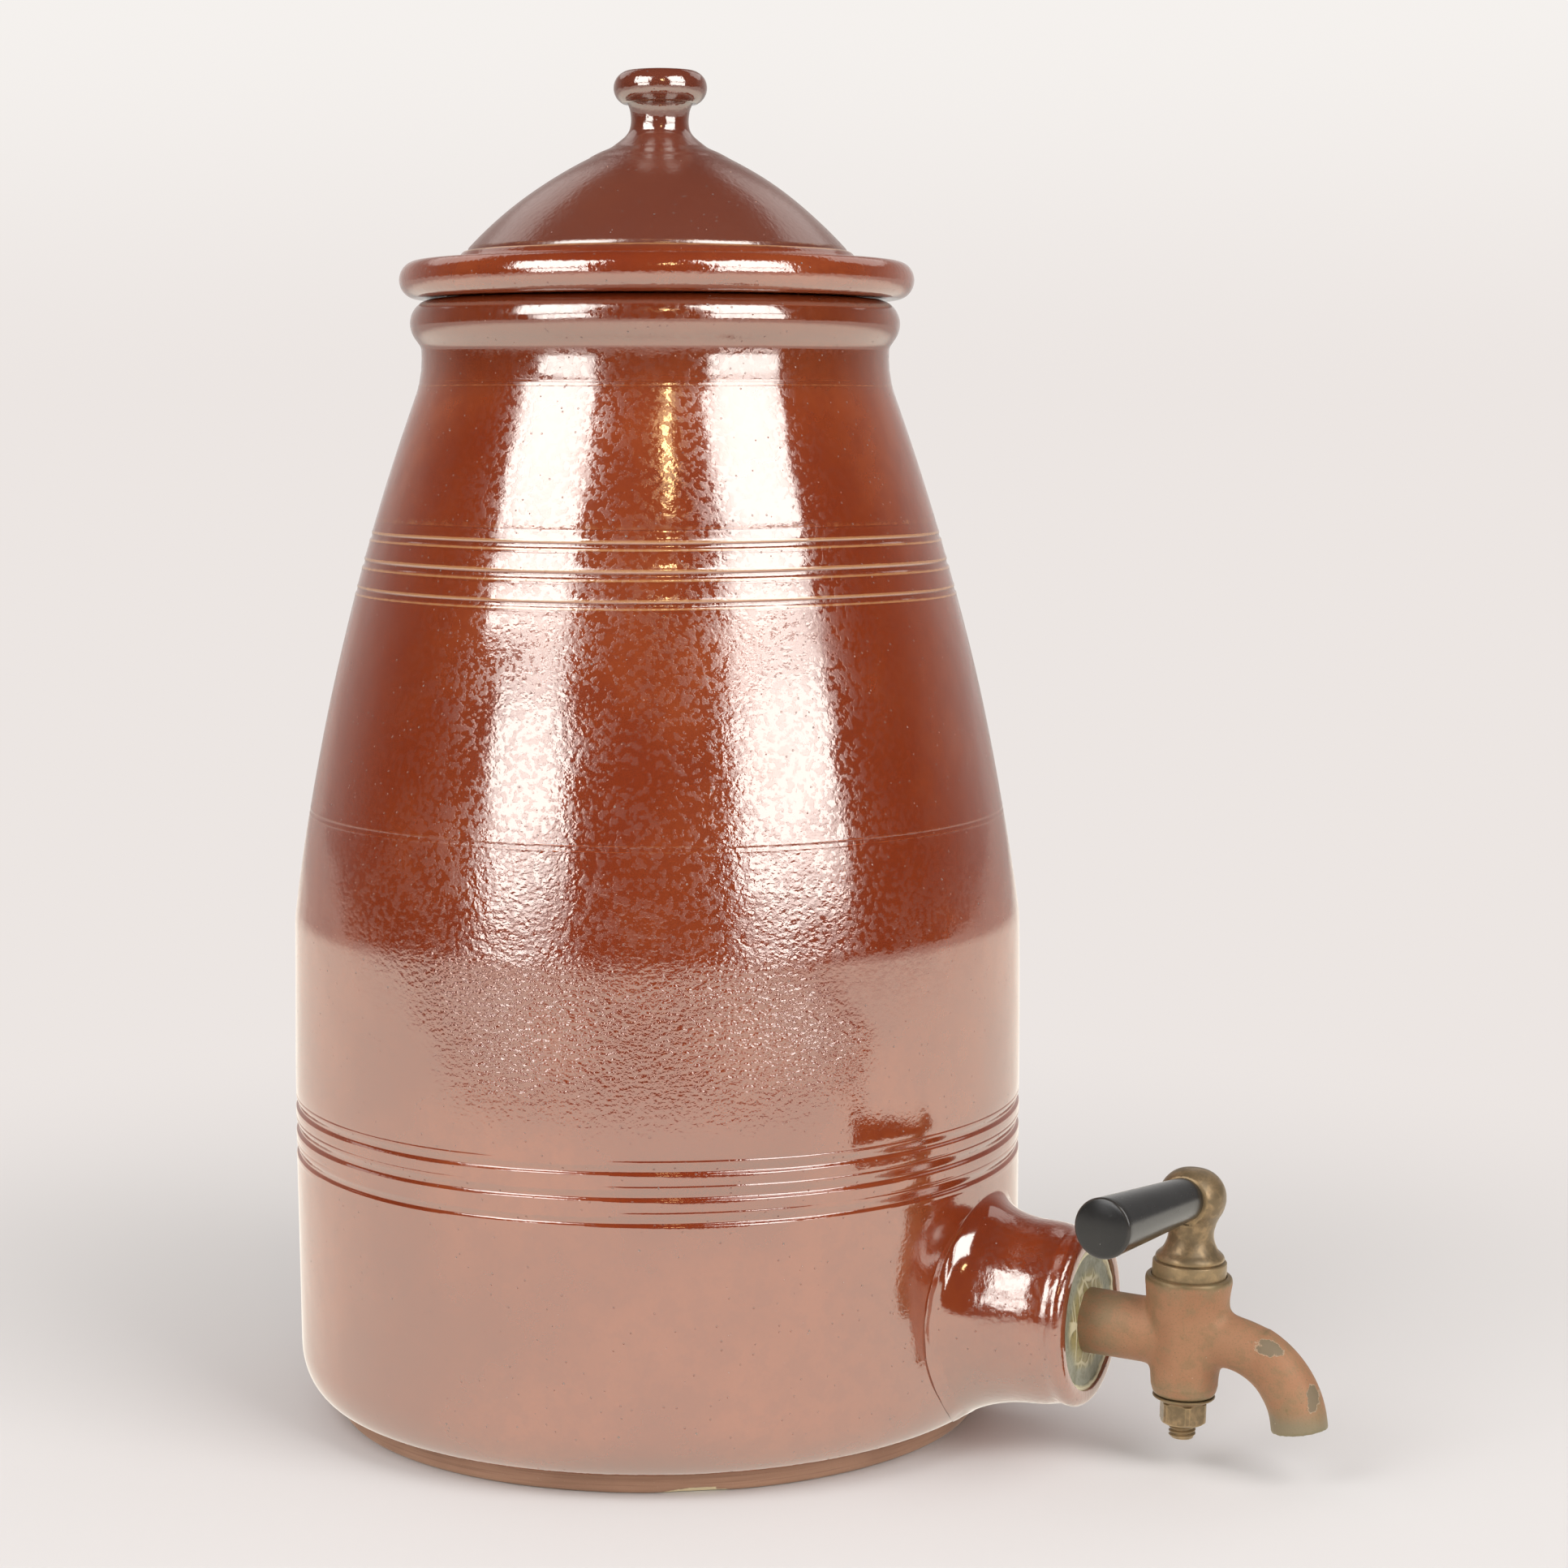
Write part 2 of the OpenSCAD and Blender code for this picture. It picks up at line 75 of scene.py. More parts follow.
def length(name, description, default):
    """A size in metres, shown with its unit."""
    return bpy.props.FloatProperty(
        name=name, description=description, default=default, min=0, precision=4, unit="LENGTH"
    )


def angle(name, description, degrees):
    """An angle, given in degrees."""
    return bpy.props.FloatProperty(
        name=name, description=description, default=math.radians(degrees), unit="ROTATION"
    )


def share(name, description, default):
    """A number from 0 to 1."""
    return bpy.props.FloatProperty(
        name=name, description=description, default=default, min=0, max=1, subtype="FACTOR"
    )


def colour(name, description, default):
    """A linear colour."""
    return bpy.props.FloatVectorProperty(
        name=name, description=description, default=default, size=3, min=0, max=1, subtype="COLOR"
    )


class PotSizes(bpy.types.PropertyGroup):
    """Sizes of the thrown pot and its boss."""

    belly_r: length("Belly radius", "Largest outside radius of the belly", -POT_LOW.y)
    belly_bow: length("Belly bow", "How much the belly draws in towards its ends", 0.6 * MM)
    foot_r: length("Foot radius", "Radius of the unglazed foot", 102.8 * MM)
    foot_h: length("Foot height", "Height of the unglazed foot", 6.7 * MM)
    foot_step: length("Foot step", "How far the body stands out over the foot", 2 * MM)
    corner_h: length("Corner height", "Rounded corner between foot and belly", 15.5 * MM)
    belly_h: length("Belly height", "Height of the near-straight belly", 136.5 * MM)
    shoulder_h: length("Shoulder height", "Height of the sloping shoulder", 162.5 * MM)
    shoulder_bow: length("Shoulder bow", "Swell of the shoulder past a cone", 4.45 * MM)
    neck_h: length("Neck height", "From the shoulder to the narrowest neck", 12 * MM)
    neck_r: length("Neck radius", "Outside radius at the narrowest neck", 73.2 * MM)
    neck_curve_r: length("Neck curve", "Hollow curve that leads into the neck", 35 * MM)
    rim_half_w: length("Rim half width", "Half the width of the rim bead", 7 * MM)
    rim_half_h: length("Rim half height", "Half the height of the rim bead", 7.5 * MM)
    rim_out: length("Rim", "How far the rim bead stands out from the neck", 3.4 * MM)
    wall: length("Wall", "Thickness of the clay wall", 9 * MM)
    floor_t: length("Floor", "Thickness of the floor", 12 * MM)
    floor_curve_r: length("Floor curve", "Curve between wall and floor inside", 16 * MM)
    wander: length("Wander", "How far the turned lines wander up and down", 0.5 * MM)
    boss_rise: length("Boss height", "Height of the middle of the boss", 42.8 * MM)
    boss_waist_r: length("Boss waist", "Radius of the boss at its waist", 28.1 * MM)
    boss_lip_r: length("Boss lip", "Radius of the boss at its lip", 27.3 * MM)
    boss_root_r: length("Boss foot", "Radius of its trumpet foot on the wall", 36 * MM)
    boss_root_l: length("Boss foot length", "Length of the trumpet foot", 17 * MM)
    boss_lip_round: length("Boss lip rounding", "Rounding of the lip", 3.2 * MM)
    socket_r: length("Socket radius", "Radius of the socket round the tap", 22.2 * MM)


class LidSizes(bpy.types.PropertyGroup):
    """Sizes of the lid."""

    ring_in_r: length("Ring inside", "Inner radius of the ring under the lid", 55.8 * MM)
    ring_r: length("Ring outside", "Outer radius of the ring under the lid", 61.8 * MM)
    ring_h: length("Ring depth", "Depth of the ring under the lid", 8 * MM)
    edge_w: length("Edge width", "How far the rounded edge reaches in", 5.5 * MM)
    edge_half_h: length("Edge half height", "Half the thickness of the edge", 5.8 * MM)
    dome_r: length("Dome radius", "Radius of the foot of the dome", 60 * MM)
    dome_top_r: length("Dome top radius", "Radius of the top of the dome", 22 * MM)
    dome_h: length("Dome height", "Height of the dome", 29 * MM)
    dome_bow: length("Dome bow", "Swell of the dome past a cone", 2.2 * MM)
    lid_t: length("Thickness", "Thickness of the lid", 7.5 * MM)
    neck_r: length("Knob neck", "Radius of the neck of the knob", 9.1 * MM)
    neck_h: length("Knob neck height", "From the dome to the middle of the neck", 11 * MM)
    knob_r: length("Knob radius", "Radius of the knob", 14.6 * MM)
    knob_h: length("Knob height", "From the neck to the middle of the knob", 10.6 * MM)
    knob_half_t: length("Knob half thickness", "Half the thickness of the knob", 5.4 * MM)
    lean_low: length("Edge offset", "How far the edge was thrown off centre", 0.6 * MM)
    lean_high: length("Knob offset", "How far the knob was thrown off centre", 1.7 * MM)


class TapSizes(bpy.types.PropertyGroup):
    """Sizes of the tap, from the plug's axis and the waterway's height."""

    height: length("Height", "Height of the socket above the table", 42 * MM)
    plug_out: length("Plug distance", "From the face of the boss to the plug", 30.2 * MM)
    droop: angle("Droop", "How far the tap leans down", 1.8)
    shank_r: length("Shank radius", "Radius of the shank", 9.9 * MM)
    shank_l: length("Shank length", "From the plug to the end of the shank", 67.2 * MM)
    water_r: length("Waterway", "Radius of the waterway", 5.5 * MM)
    barrel_top_r: length("Barrel top", "Radius of the barrel at its top", 13.1 * MM)
    barrel_end_r: length("Barrel end", "Radius of the barrel at its bottom", 9.75 * MM)
    barrel_up: length("Barrel up", "Height of the barrel above the waterway", 19 * MM)
    barrel_down: length("Barrel down", "Height of the barrel below it", 18 * MM)
    spout_r: length("Spout radius", "Radius of the spout", 8.2 * MM)
    spout_rise: length("Spout rise", "Height of the spout at the plug", 2.3 * MM)
    spout_start: length("Spout start", "From the plug to the bend", 15 * MM)
    spout_bend_r: length("Spout bend", "Radius of the bend", 24.8 * MM)
    spout_end_l: length("Spout end", "Length of the straight end", 2.9 * MM)
    spout_slope: angle("Spout slope", "Slope of the spout before its bend", 8)
    spout_end_slope: angle("Outlet slope", "Slope of the spout at its outlet", 80)
    collar_r: length("Collar radius", "Radius of the collar over the barrel", 11.1 * MM)
    collar_top: length("Collar top", "Height of the top of the collar", 23.3 * MM)
    throat_z: length("Neck height", "Height of the neck under the head", 31.7 * MM)
    throat_r: length("Neck radius", "Radius of the neck under the head", 6.8 * MM)
    head_z: length("Head height", "Height of the middle of the head", 42.8 * MM)
    head_r: length("Head radius", "Radius of the head", 10.2 * MM)
    head_up: length("Head top", "Height of the head above its middle", 8.6 * MM)
    end_r: length("Thread radius", "Outside radius of the threaded end", 4.05 * MM)
    end_l: length("Thread length", "Length of the threaded end below the nut", 4.7 * MM)
    pitch: length("Pitch", "Rise of the thread in one turn", 1.25 * MM)
    washer_r: length("Washer top", "Radius of the top of the washer", 9.4 * MM)
    washer_low_r: length("Washer bottom", "Radius of its bottom", 7.6 * MM)
    washer_h: length("Washer height", "Thickness of the washer", 1.7 * MM)
    nut_w: length("Nut width", "Width of the nut across its flats", 13 * MM)
    nut_h: length("Nut height", "Height of the nut", 6.9 * MM)
    grip_l: length("Grip length", "Length of the grip", 55.6 * MM)
    grip_root_r: length("Grip root", "Radius of the grip at the head", 6.6 * MM)
    grip_end_r: length("Grip end", "Radius of the grip at its outer end", 8.8 * MM)
    grip_seat: length("Grip seat", "From the middle of the head to the grip", 6.7 * MM)
    grip_turn: angle("Grip turn", "Turn of the grip past square", 5.5)
    grip_rise: angle("Grip rise", "Rise of the grip", 3.2)


class Finishes(bpy.types.PropertyGroup):
    """Colours and gloss of the finishes."""

    glaze: colour("Glaze", "Iron-red salt glaze where it is thick", (0.185, 0.027, 0.0065))
    glaze_light: colour("Thin glaze", "Glaze in its lighter clouds", (0.250, 0.049, 0.014))
    glaze_lid: colour("Lid glaze", "Browner, drier glaze on the dome", (0.118, 0.031, 0.018))
    glaze_edge: colour("Glaze edge", "Glaze where it breaks over an edge", (0.50, 0.26, 0.11))
    clay: colour("Clay", "Bare fired clay", (0.29, 0.155, 0.095))
    chip: colour("Chip", "Fresh clay in a chip", (0.78, 0.66, 0.42))
    putty: colour("Putty", "Old sealing compound", (0.19, 0.185, 0.12))
    putty_rim: colour("Putty rim", "Pale rim and veins of the compound", (0.66, 0.60, 0.40))
    copper: colour("Copper brown", "Skin of the casting", (0.315, 0.150, 0.075))
    olive: colour("Olive", "Tarnish on edges and in hollows", (0.17, 0.135, 0.065))
    flake: colour("Flake", "Metal under the flaked skin", (0.180, 0.133, 0.080))
    verdigris: colour("Verdigris", "Grey-green crust at the outlet", (0.215, 0.185, 0.115))
    brass: colour("Brass", "Worn brass", (0.44, 0.31, 0.16))
    brass_dark: colour("Dark brass", "Tarnished brass", (0.155, 0.108, 0.056))
    grip: colour("Grip", "Polished hard black of the grip", (0.009, 0.0085, 0.0085))
    relief: share("Relief", "Strength of the glaze's orange peel", 1.0)


class StudioLook(bpy.types.PropertyGroup):
    """Studio round the pot."""

    floor: colour("Floor", "Colour of floor and backdrop", (0.84, 0.79, 0.765))
    sky: colour("Backdrop", "Colour high on the backdrop", (0.915, 0.883, 0.856))
    box_level: bpy.props.FloatProperty(
        name="Softbox", description="Brightness of the softboxes", default=5.15, min=0
    )
    room_level: bpy.props.FloatProperty(
        name="Room", description="Brightness of the room's own light", default=0.60, min=0
    )


SETTINGS = {"pot": PotSizes, "pot_lid": LidSizes, "tap": TapSizes,
            "finishes": Finishes, "studio": StudioLook}


# Materials


class Level:
    """A node's output that takes part in Python sums: 1 - mask adds a Math node."""

    def __init__(self, finish, socket):
        self.finish, self.socket = finish, socket

    def __add__(self, other):
        return self.finish.math("ADD", self, other)

    def __sub__(self, other):
        return self.finish.math("SUBTRACT", self, other)

    def __rsub__(self, other):
        return self.finish.math("SUBTRACT", other, self)

    def __mul__(self, other):
        return self.finish.math("MULTIPLY", self, other)

    def __truediv__(self, other):
        return self.finish.math("DIVIDE", self, other)

    __radd__, __rmul__ = __add__, __mul__


class Finish:
    """The node tree of one material."""

    def __init__(self, name=None, tree=None):
        if tree is None:
            self.material = bpy.data.materials.new(name)
            self.material.use_nodes = True
            tree = self.material.node_tree
        self.tree = tree
        self.tree.nodes.clear()

    def node(self, kind, settings=(), sockets=(), output=0):
        """Adds a node of that type and gives its output; settings are set before sockets."""
        made = self.tree.nodes.new("ShaderNode" + kind)
        for name, value in dict(settings).items():
            setattr(made, name, value)
        for key, value in dict(sockets).items():
            if isinstance(value, Level):
                self.tree.links.new(value.socket, made.inputs[key])
            else:
                made.inputs[key].default_value = value
        return Level(self, made.outputs[output]) if len(made.outputs) else made

    def math(self, operation, *values):
        return self.node("Math", {"operation": operation}, dict(enumerate(values)))

    def place(self):
        """Position on the piece, in metres."""
        return self.node("TexCoord", output="Object")

    def attribute(self, name):
        return self.node("Attribute", {"attribute_name": name}, output="Fac")

    def parts(self, vector):
        """The three parts of a position."""
        split = self.node("SeparateXYZ", (), {0: vector})
        outputs = split.socket.node.outputs
        return [Level(self, outputs[i]) for i in range(3)]

    def stretched(self, vector, scale):
        """The position times a scale; under 1 draws a pattern out."""
        return self.node("Mapping", (), {"Vector": vector, "Scale": scale})

    def moved(self, vector, move):
        """The position shifted, so that a pattern doesn't repeat another."""
        return self.node("Mapping", (), {"Vector": vector, "Location": move})

    def cloud(self, vector, size, detail=2.0, rough=0.5, warp=0.0):
        """Soft noise from 0 to 1 whose features are about this many metres wide."""
        sockets = {"Vector": vector, "Scale": 1 / size, "Detail": detail,
                   "Roughness": rough, "Distortion": warp}
        return self.node("TexNoise", (), sockets)

    def cells(self, vector, size, output="Distance", feature="F1"):
        """Scattered points about this many metres apart."""
        settings = {"feature": feature}
        return self.node("TexVoronoi", settings, {"Vector": vector, "Scale": 1 / size}, output)

    def step(self, value, low, high):
        """0 below low, 1 above high, and smooth between; low may be the larger."""
        sockets = {"Value": value, "From Min": low, "From Max": high}
        return self.node("MapRange", {"interpolation_type": "SMOOTHSTEP"}, sockets)

    def spots(self, vector, size, radius, amount):
        """Round spots of a radius, one in some of the cells."""
        near = self.step(self.cells(vector, size), radius / size, 0.55 * radius / size)
        pick = self.parts(self.cells(vector, size, "Color"))[0]
        return near * self.step(pick, 1 - amount, 1.001 - amount)

    def mix(self, factor, first, second):
        """Mixes two colours."""
        sockets = {0: factor, 6: tone(first), 7: tone(second)}
        return self.node("Mix", {"data_type": "RGBA"}, sockets, output=2)

    def blend(self, factor, first, second):
        """Mixes two shaders."""
        return self.node("MixShader", (), {0: factor, 1: first, 2: second})

    def glow(self, kind, shade, strength):
        """An Emission or a Background."""
        return self.node(kind, (), {"Color": tone(shade), "Strength": strength})

    def ray(self, kind):
        """1 for rays of that kind, 0 for all others."""
        path = self.node("LightPath").socket.node.outputs
        return Level(self, path[f"Is {kind} Ray"])

    def direct(self):
        """1 for rays from the camera, straight or through clear pieces."""
        return self.math("MAXIMUM", self.ray("Camera"), self.ray("Transmission"))

    def relief(self, height, strength=1.0):
        """A normal from a height in metres."""
        return self.node("Bump", (), {"Strength": strength, "Distance": 1.0, "Height": height})

    def surface(self, base, rough, height, more=(), strength=1.0):
        """The material of a plain surface: its height is in metres, more holds other sockets."""
        sockets = {"Base Color": base, "Roughness": rough, "IOR": 1.5,
                   "Normal": self.relief(height, strength), **dict(more)}
        return self.finish(self.node("BsdfPrincipled", (), sockets))

    def finish(self, shader):
        self.node("OutputMaterial", (), {"Surface": shader})
        return self.material


def tone(value):
    """A colour with its alpha, or a Level as it is."""
    return value if isinstance(value, Level) else (*tuple(value)[:3], 1.0)


# Linear shades that vary the finishes' main colours
GLAZE_SHADE = (0.17, 0.026, 0.010)
GLAZE_RIM = (0.105, 0.019, 0.006)
# Painted shade that darkens the glaze in its grooves and other hollows
GLAZE_HOLLOW_SHADE = (0.13, 0.026, 0.011)
GLAZE_DARK_SPECK = (0.04, 0.016, 0.014)
GLAZE_PALE_SPECK = (0.62, 0.45, 0.34)
GLAZE_REFLECTION = (1.0, 0.985, 0.93, 1.0)
CLAY_CLOUD = (0.36, 0.20, 0.125)
CLAY_LINE = (0.18, 0.090, 0.052)
CLAY_GRIT = (0.40, 0.27, 0.19)
PUTTY_SMEAR = (0.27, 0.27, 0.20)
PUTTY_YELLOW = (0.33, 0.26, 0.085)
PUTTY_GRIT = (0.10, 0.10, 0.065)
COPPER_CLOUD = (0.34, 0.170, 0.088)
COPPER_BLOTCH = (0.25, 0.15, 0.075)
COPPER_ENDS = (0.24, 0.175, 0.095)
FLAKE_RIM = (0.45, 0.36, 0.25)
CASTING_DUST = (0.09, 0.07, 0.04)
CASTING_SPECK = (0.55, 0.50, 0.40)
BRASS_WORN = (0.30, 0.205, 0.110)
BRASS_GRAIN = (0.22, 0.135, 0.065)
GRIP_CLOUD = (0.014, 0.013, 0.0125)
GRIP_SCUFF = (0.05, 0.044, 0.038)
GRIP_DUST = (0.35, 0.33, 0.30)

# Where the glaze changes: from the first height to the second
BELT_START = (102 * MM, 140 * MM)
BELT_END = (150 * MM, 166 * MM)
UPPER_START = (125 * MM, 175 * MM)
BROKEN_START = (130 * MM, 190 * MM)
RIM_START = (316 * MM, 334 * MM)
LID_START = (349 * MM, 352 * MM)
DOME_START = (363.5 * MM, 367 * MM)
DOME_END = (405 * MM, 399 * MM)
# Distance along X at which the boss starts
BOSS_START = (118 * MM, 123 * MM)
# Direction in which the orange peel is roughest, +X and -Y, and the radius it is measured at
ROUGH_X, ROUGH_Y, ROUGH_REACH = 0.40, 0.92, 112 * MM
# Where the casting's tarnish changes: up and down the barrel, and in along the shank
BARREL_TOP = (53 * MM, 60 * MM)
BARREL_BOTTOM = (33 * MM, 24 * MM)
SHANK_END = (166 * MM, 155 * MM)
# Where the crust at the outlet starts: downwards, and out along X
OUTLET_DOWN = (25 * MM, 19 * MM)
OUTLET_OUT = (203 * MM, 208 * MM)


def glaze_finish(look):
    """Iron-red salt glaze: clouds, dry patches, orange peel, pits, golden broken edges and
    painted shade in the grooves.
    """
    f = Finish("salt_glaze")
    place = f.place()
    x, y, z = f.parts(place)
    clouds = f.cloud(place, 60 * MM, 3)
    shade = f.cloud(place, 7 * MM, 4, 0.6)
    # One side has the roughest orange peel, most of all under the shoulder
    faced = (x * ROUGH_X - y * ROUGH_Y) / ROUGH_REACH + (f.cloud(place, 40 * MM) - 0.5) * 0.4
    rough_side = f.step(faced, 0.45, 0.95)
    lid = f.step(z, *LID_START)
    belt = f.step(z, *BELT_START) * (1 - f.step(z, *BELT_END) * 0.85)
    peel = f.step(faced, 0.80, 0.98) * belt * 0.85 + rough_side * 0.045 + lid * 0.08 + 0.02
    on_boss = f.step(x, *BOSS_START)
    upper = f.step(z, *UPPER_START)
    cover = f.step(z, *DOME_START)
    dome = cover * f.step(z, *DOME_END)
    broken = f.step(z, *BROKEN_START)

    density = f.cloud(place, 20 * MM, 2)
    patches = f.step(f.cloud(place, 1.9 * MM, 3, 0.55) + density * 0.30, 0.662, 0.69)
    patches = patches * (f.math("MAXIMUM", upper, on_boss) * 0.85 + 0.15)
    patches = patches * (rough_side * 0.6 + 0.4) * (1 - lid * 0.7)
    dark_specks = f.spots(place, 5 * MM, 0.36 * MM, 0.35)
    pits = f.spots(f.moved(place, (0.6, 0.4, 0.2)), 2.7 * MM, 0.32 * MM, 0.5)
    pale_specks = f.spots(f.moved(place, (0.3, 0.1, 0.7)), 4 * MM, 0.24 * MM, 0.3)
    edge = f.step(f.attribute("edge") + f.cloud(place, 3 * MM, 3) * 0.35, 0.42, 0.85) * broken
    # Painted shade: the glaze is darker in the turned grooves and other hollows, above the belly
    # and off the lid
    hollow = f.step(f.attribute("hollow"), 0.10, 0.60) * broken * (1 - lid)

    base = f.mix(f.step(clouds, 0.35, 0.70), look.glaze, look.glaze_light)
    base = f.mix(f.step(shade, 0.42, 0.62) * 0.30, base, GLAZE_SHADE)
    rim = f.step(z, *RIM_START) * (1 - lid)
    base = f.mix(rim * 0.5, base, GLAZE_RIM)
    base = f.mix(cover * 0.80, base, look.glaze_lid)
    # Painted shade in the grooves and hollows
    base = f.mix(hollow * 0.45, base, GLAZE_HOLLOW_SHADE)
    base = f.mix(edge * 0.60, base, look.glaze_edge)
    base = f.mix(dark_specks * 0.8, base, GLAZE_DARK_SPECK)
    base = f.mix(pale_specks * (cover * 0.5 + 0.25), base, GLAZE_PALE_SPECK)

    rough = 0.07 + patches * 0.16 + dome * 0.13 + on_boss * 0.05 + shade * 0.03
    rough = rough + dark_specks * 0.2

    small = f.cloud(f.stretched(place, (1, 1, 1.2)), 1.6 * MM, 2, 0.5)
    large = f.cloud(f.stretched(place, (1, 1, 1.8)), 5.0 * MM, 1)
    height = (small * 0.85 + large * 0.10) * peel + patches * 0.010
    height = height + f.cloud(place, 16 * MM, 1) * 0.22
    height = height + f.cloud(f.stretched(place, (0.03, 0.03, 1)), 1.6 * MM, 3) * 0.010
    drips = f.cloud(f.stretched(place, (1, 1, 0.15)), 1.5 * MM, 3)
    height = height + drips * on_boss * 0.10 + large * on_boss * 0.10
    height = height - dark_specks * 0.08 - pale_specks * 0.10 - pits * 0.22
    # The high IOR makes the glaze mirror as strongly as in the photograph
    gloss = {"IOR": 2.6, "Specular Tint": GLAZE_REFLECTION}
    return f.surface(base, rough, height * MM, gloss, look.relief)


def clay_finish(look):
    """Bare fired clay with turning lines and one pale chip on the front of the foot."""
    f = Finish("bare_clay")
    place = f.place()
    lines = f.cloud(f.stretched(place, (0.02, 0.02, 1)), 0.7 * MM, 3, 0.6)
    grit = f.cloud(place, 1.1 * MM, 4, 0.65)
    clouds = f.cloud(place, 30 * MM, 3)
    chip = f.attribute("chip")
    base = f.mix(f.step(clouds, 0.3, 0.7), look.clay, CLAY_CLOUD)
    base = f.mix(f.step(lines, 0.45, 0.70) * 0.5, base, CLAY_LINE)
    base = f.mix(f.step(grit, 0.60, 0.72) * 0.4, base, CLAY_GRIT)
    base = f.mix(f.step(chip + grit * 0.3, 0.45, 0.60), base, look.chip)
    return f.surface(base, 0.55 + grit * 0.25, (lines * 0.10 + grit * 0.06) * MM)


def putty_finish(look, tap):
    """Set sealing compound: olive grey, a pale rim, and flaking veins round the shank."""
    f = Finish("sealing_compound")
    place = f.place()
    y, z = f.parts(place)[1:]
    rise = z - tap.height
    out = f.math("SQRT", y * y + rise * rise)
    grit = f.cloud(place, 1.4 * MM, 4, 0.6)
    smear = f.cloud(place, 9 * MM, 3, 0.6, 0.8)
    uneven = out + (smear - 0.5) * (2.2 * MM)
    rim = f.step(uneven, 19.9 * MM, 20.6 * MM)
    near = f.step(uneven, 16.5 * MM, 12.5 * MM)
    bent = f.stretched(place, (1, 1, 0.6))
    veins = f.step(f.cells(bent, 4.6 * MM, feature="DISTANCE_TO_EDGE"), 0.10, 0.03) * near
    base = f.mix(f.step(smear, 0.35, 0.65), look.putty, PUTTY_SMEAR)
    base = f.mix(near * 0.75, base, PUTTY_YELLOW)
    base = f.mix(f.step(grit, 0.52, 0.70) * 0.5, base, PUTTY_GRIT)
    base = f.mix(f.math("MAXIMUM", rim, veins * 0.8), base, look.putty_rim)
    height = grit * 0.15 + veins * 0.35 + smear * 0.5 + rim * 0.2
    return f.surface(base, 0.42 + grit * 0.25, height * MM)


def casting_finish(look):
    """Cast brass gone copper-brown, olive on its edges, with flaked spots and a grey outlet."""
    f = Finish("tarnished_casting")
    place = f.place()
    x, _, z = f.parts(place)
    grain = f.cloud(place, 0.55 * MM, 3, 0.6)
    blotch = f.cloud(place, 5 * MM, 5, 0.62, 0.4)
    drift = f.cloud(place, 14 * MM, 3)
    edge = f.step(f.attribute("edge") + (blotch - 0.5) * 0.5, 0.22, 0.70)
    ends = f.step(z, *BARREL_TOP) * 0.6 + f.step(z, *BARREL_BOTTOM) * 0.5
    ends = f.math("MAXIMUM", ends, f.step(x, *SHANK_END) * 0.6)
    flaked = f.attribute("flake") + (f.cloud(place, 3.2 * MM, 4, 0.6) - 0.5) * 1.0
    crust = f.step(z + (blotch - 0.5) * (9 * MM), *OUTLET_DOWN) * f.step(x, *OUTLET_OUT)
    dust = f.spots(place, 2.2 * MM, 0.22 * MM, 0.45)
    pale = f.spots(f.moved(place, (0.5, 0.2, 0.1)), 3.1 * MM, 0.25 * MM, 0.3)
    base = f.mix(f.step(drift, 0.35, 0.65), look.copper, COPPER_CLOUD)
    base = f.mix(f.step(blotch, 0.46, 0.64) * 0.7, base, COPPER_BLOTCH)
    base = f.mix(ends * f.step(blotch, 0.32, 0.58), base, COPPER_ENDS)
    base = f.mix(f.step(grain, 0.50, 0.72) * 0.45, base, look.olive)
    base = f.mix(edge * 0.60, base, look.olive)
    base = f.mix(crust * 0.85, base, look.verdigris)
    base = f.mix(f.step(flaked, 0.44, 0.48) * 0.5, base, FLAKE_RIM)
    base = f.mix(f.step(flaked, 0.49, 0.54), base, look.flake)
    base = f.mix(dust * 0.5, base, CASTING_DUST)
    base = f.mix(pale * (crust * 0.5 + 0.25), base, CASTING_SPECK)
    rough = 0.55 - edge * 0.16 + grain * 0.15
    height = grain * 0.05 + blotch * 0.20 + drift * 0.5 - f.step(flaked, 0.44, 0.52) * 0.12
    return f.surface(base, rough, height * MM, {"Metallic": 0.25 + edge * 0.3})


def brass_finish(look, name, shift):
    """Turned brass, tarnished olive and worn golden on its edges."""
    f = Finish(name)
    place = f.place()
    blotch = f.cloud(f.moved(place, shift), 4.2 * MM, 5, 0.6, 0.3)
    grain = f.cloud(place, 0.5 * MM, 3, 0.6)
    edge = f.step(f.attribute("edge") + (blotch - 0.5) * 0.4, 0.25, 0.85)
    worn = f.step(blotch, 0.42, 0.68)
    base = f.mix(worn, look.brass_dark, BRASS_WORN)
    base = f.mix(f.step(grain, 0.50, 0.75) * 0.35, base, BRASS_GRAIN)
    base = f.mix(edge * 0.30, base, look.brass)
    rough = 0.33 + grain * 0.20 - worn * 0.05
    height = grain * 0.03 + blotch * 0.10
    return f.surface(base, rough, height * MM, {"Metallic": 0.45 + worn * 0.2})


def grip_finish(look):
    """Polished hard black, finely scratched, duller and scuffed on the end."""
    f = Finish("polished_black")
    place = f.place()
    along = f.stretched(place, (1, 0.08, 1))
    scratches = f.cloud(along, 0.8 * MM, 3, 0.6)
    scuffs = f.cloud(place, 1.6 * MM, 4, 0.65)
    clouds = f.cloud(place, 12 * MM, 2)
    edge = f.step(f.attribute("edge"), 0.25, 0.9)
    dust = f.spots(place, 3.5 * MM, 0.16 * MM, 0.22)
    base = f.mix(f.step(clouds, 0.3, 0.7), look.grip, GRIP_CLOUD)
    base = f.mix(edge * 0.5 + f.step(scuffs, 0.62, 0.75) * 0.12, base, GRIP_SCUFF)
    base = f.mix(dust * 0.7, base, GRIP_DUST)
    rough = 0.21 + f.step(scratches, 0.5, 0.75) * 0.05 + f.step(scuffs, 0.5, 0.7) * 0.05
    return f.surface(base, rough, scratches * 0.003 * MM, {"IOR": 1.48})


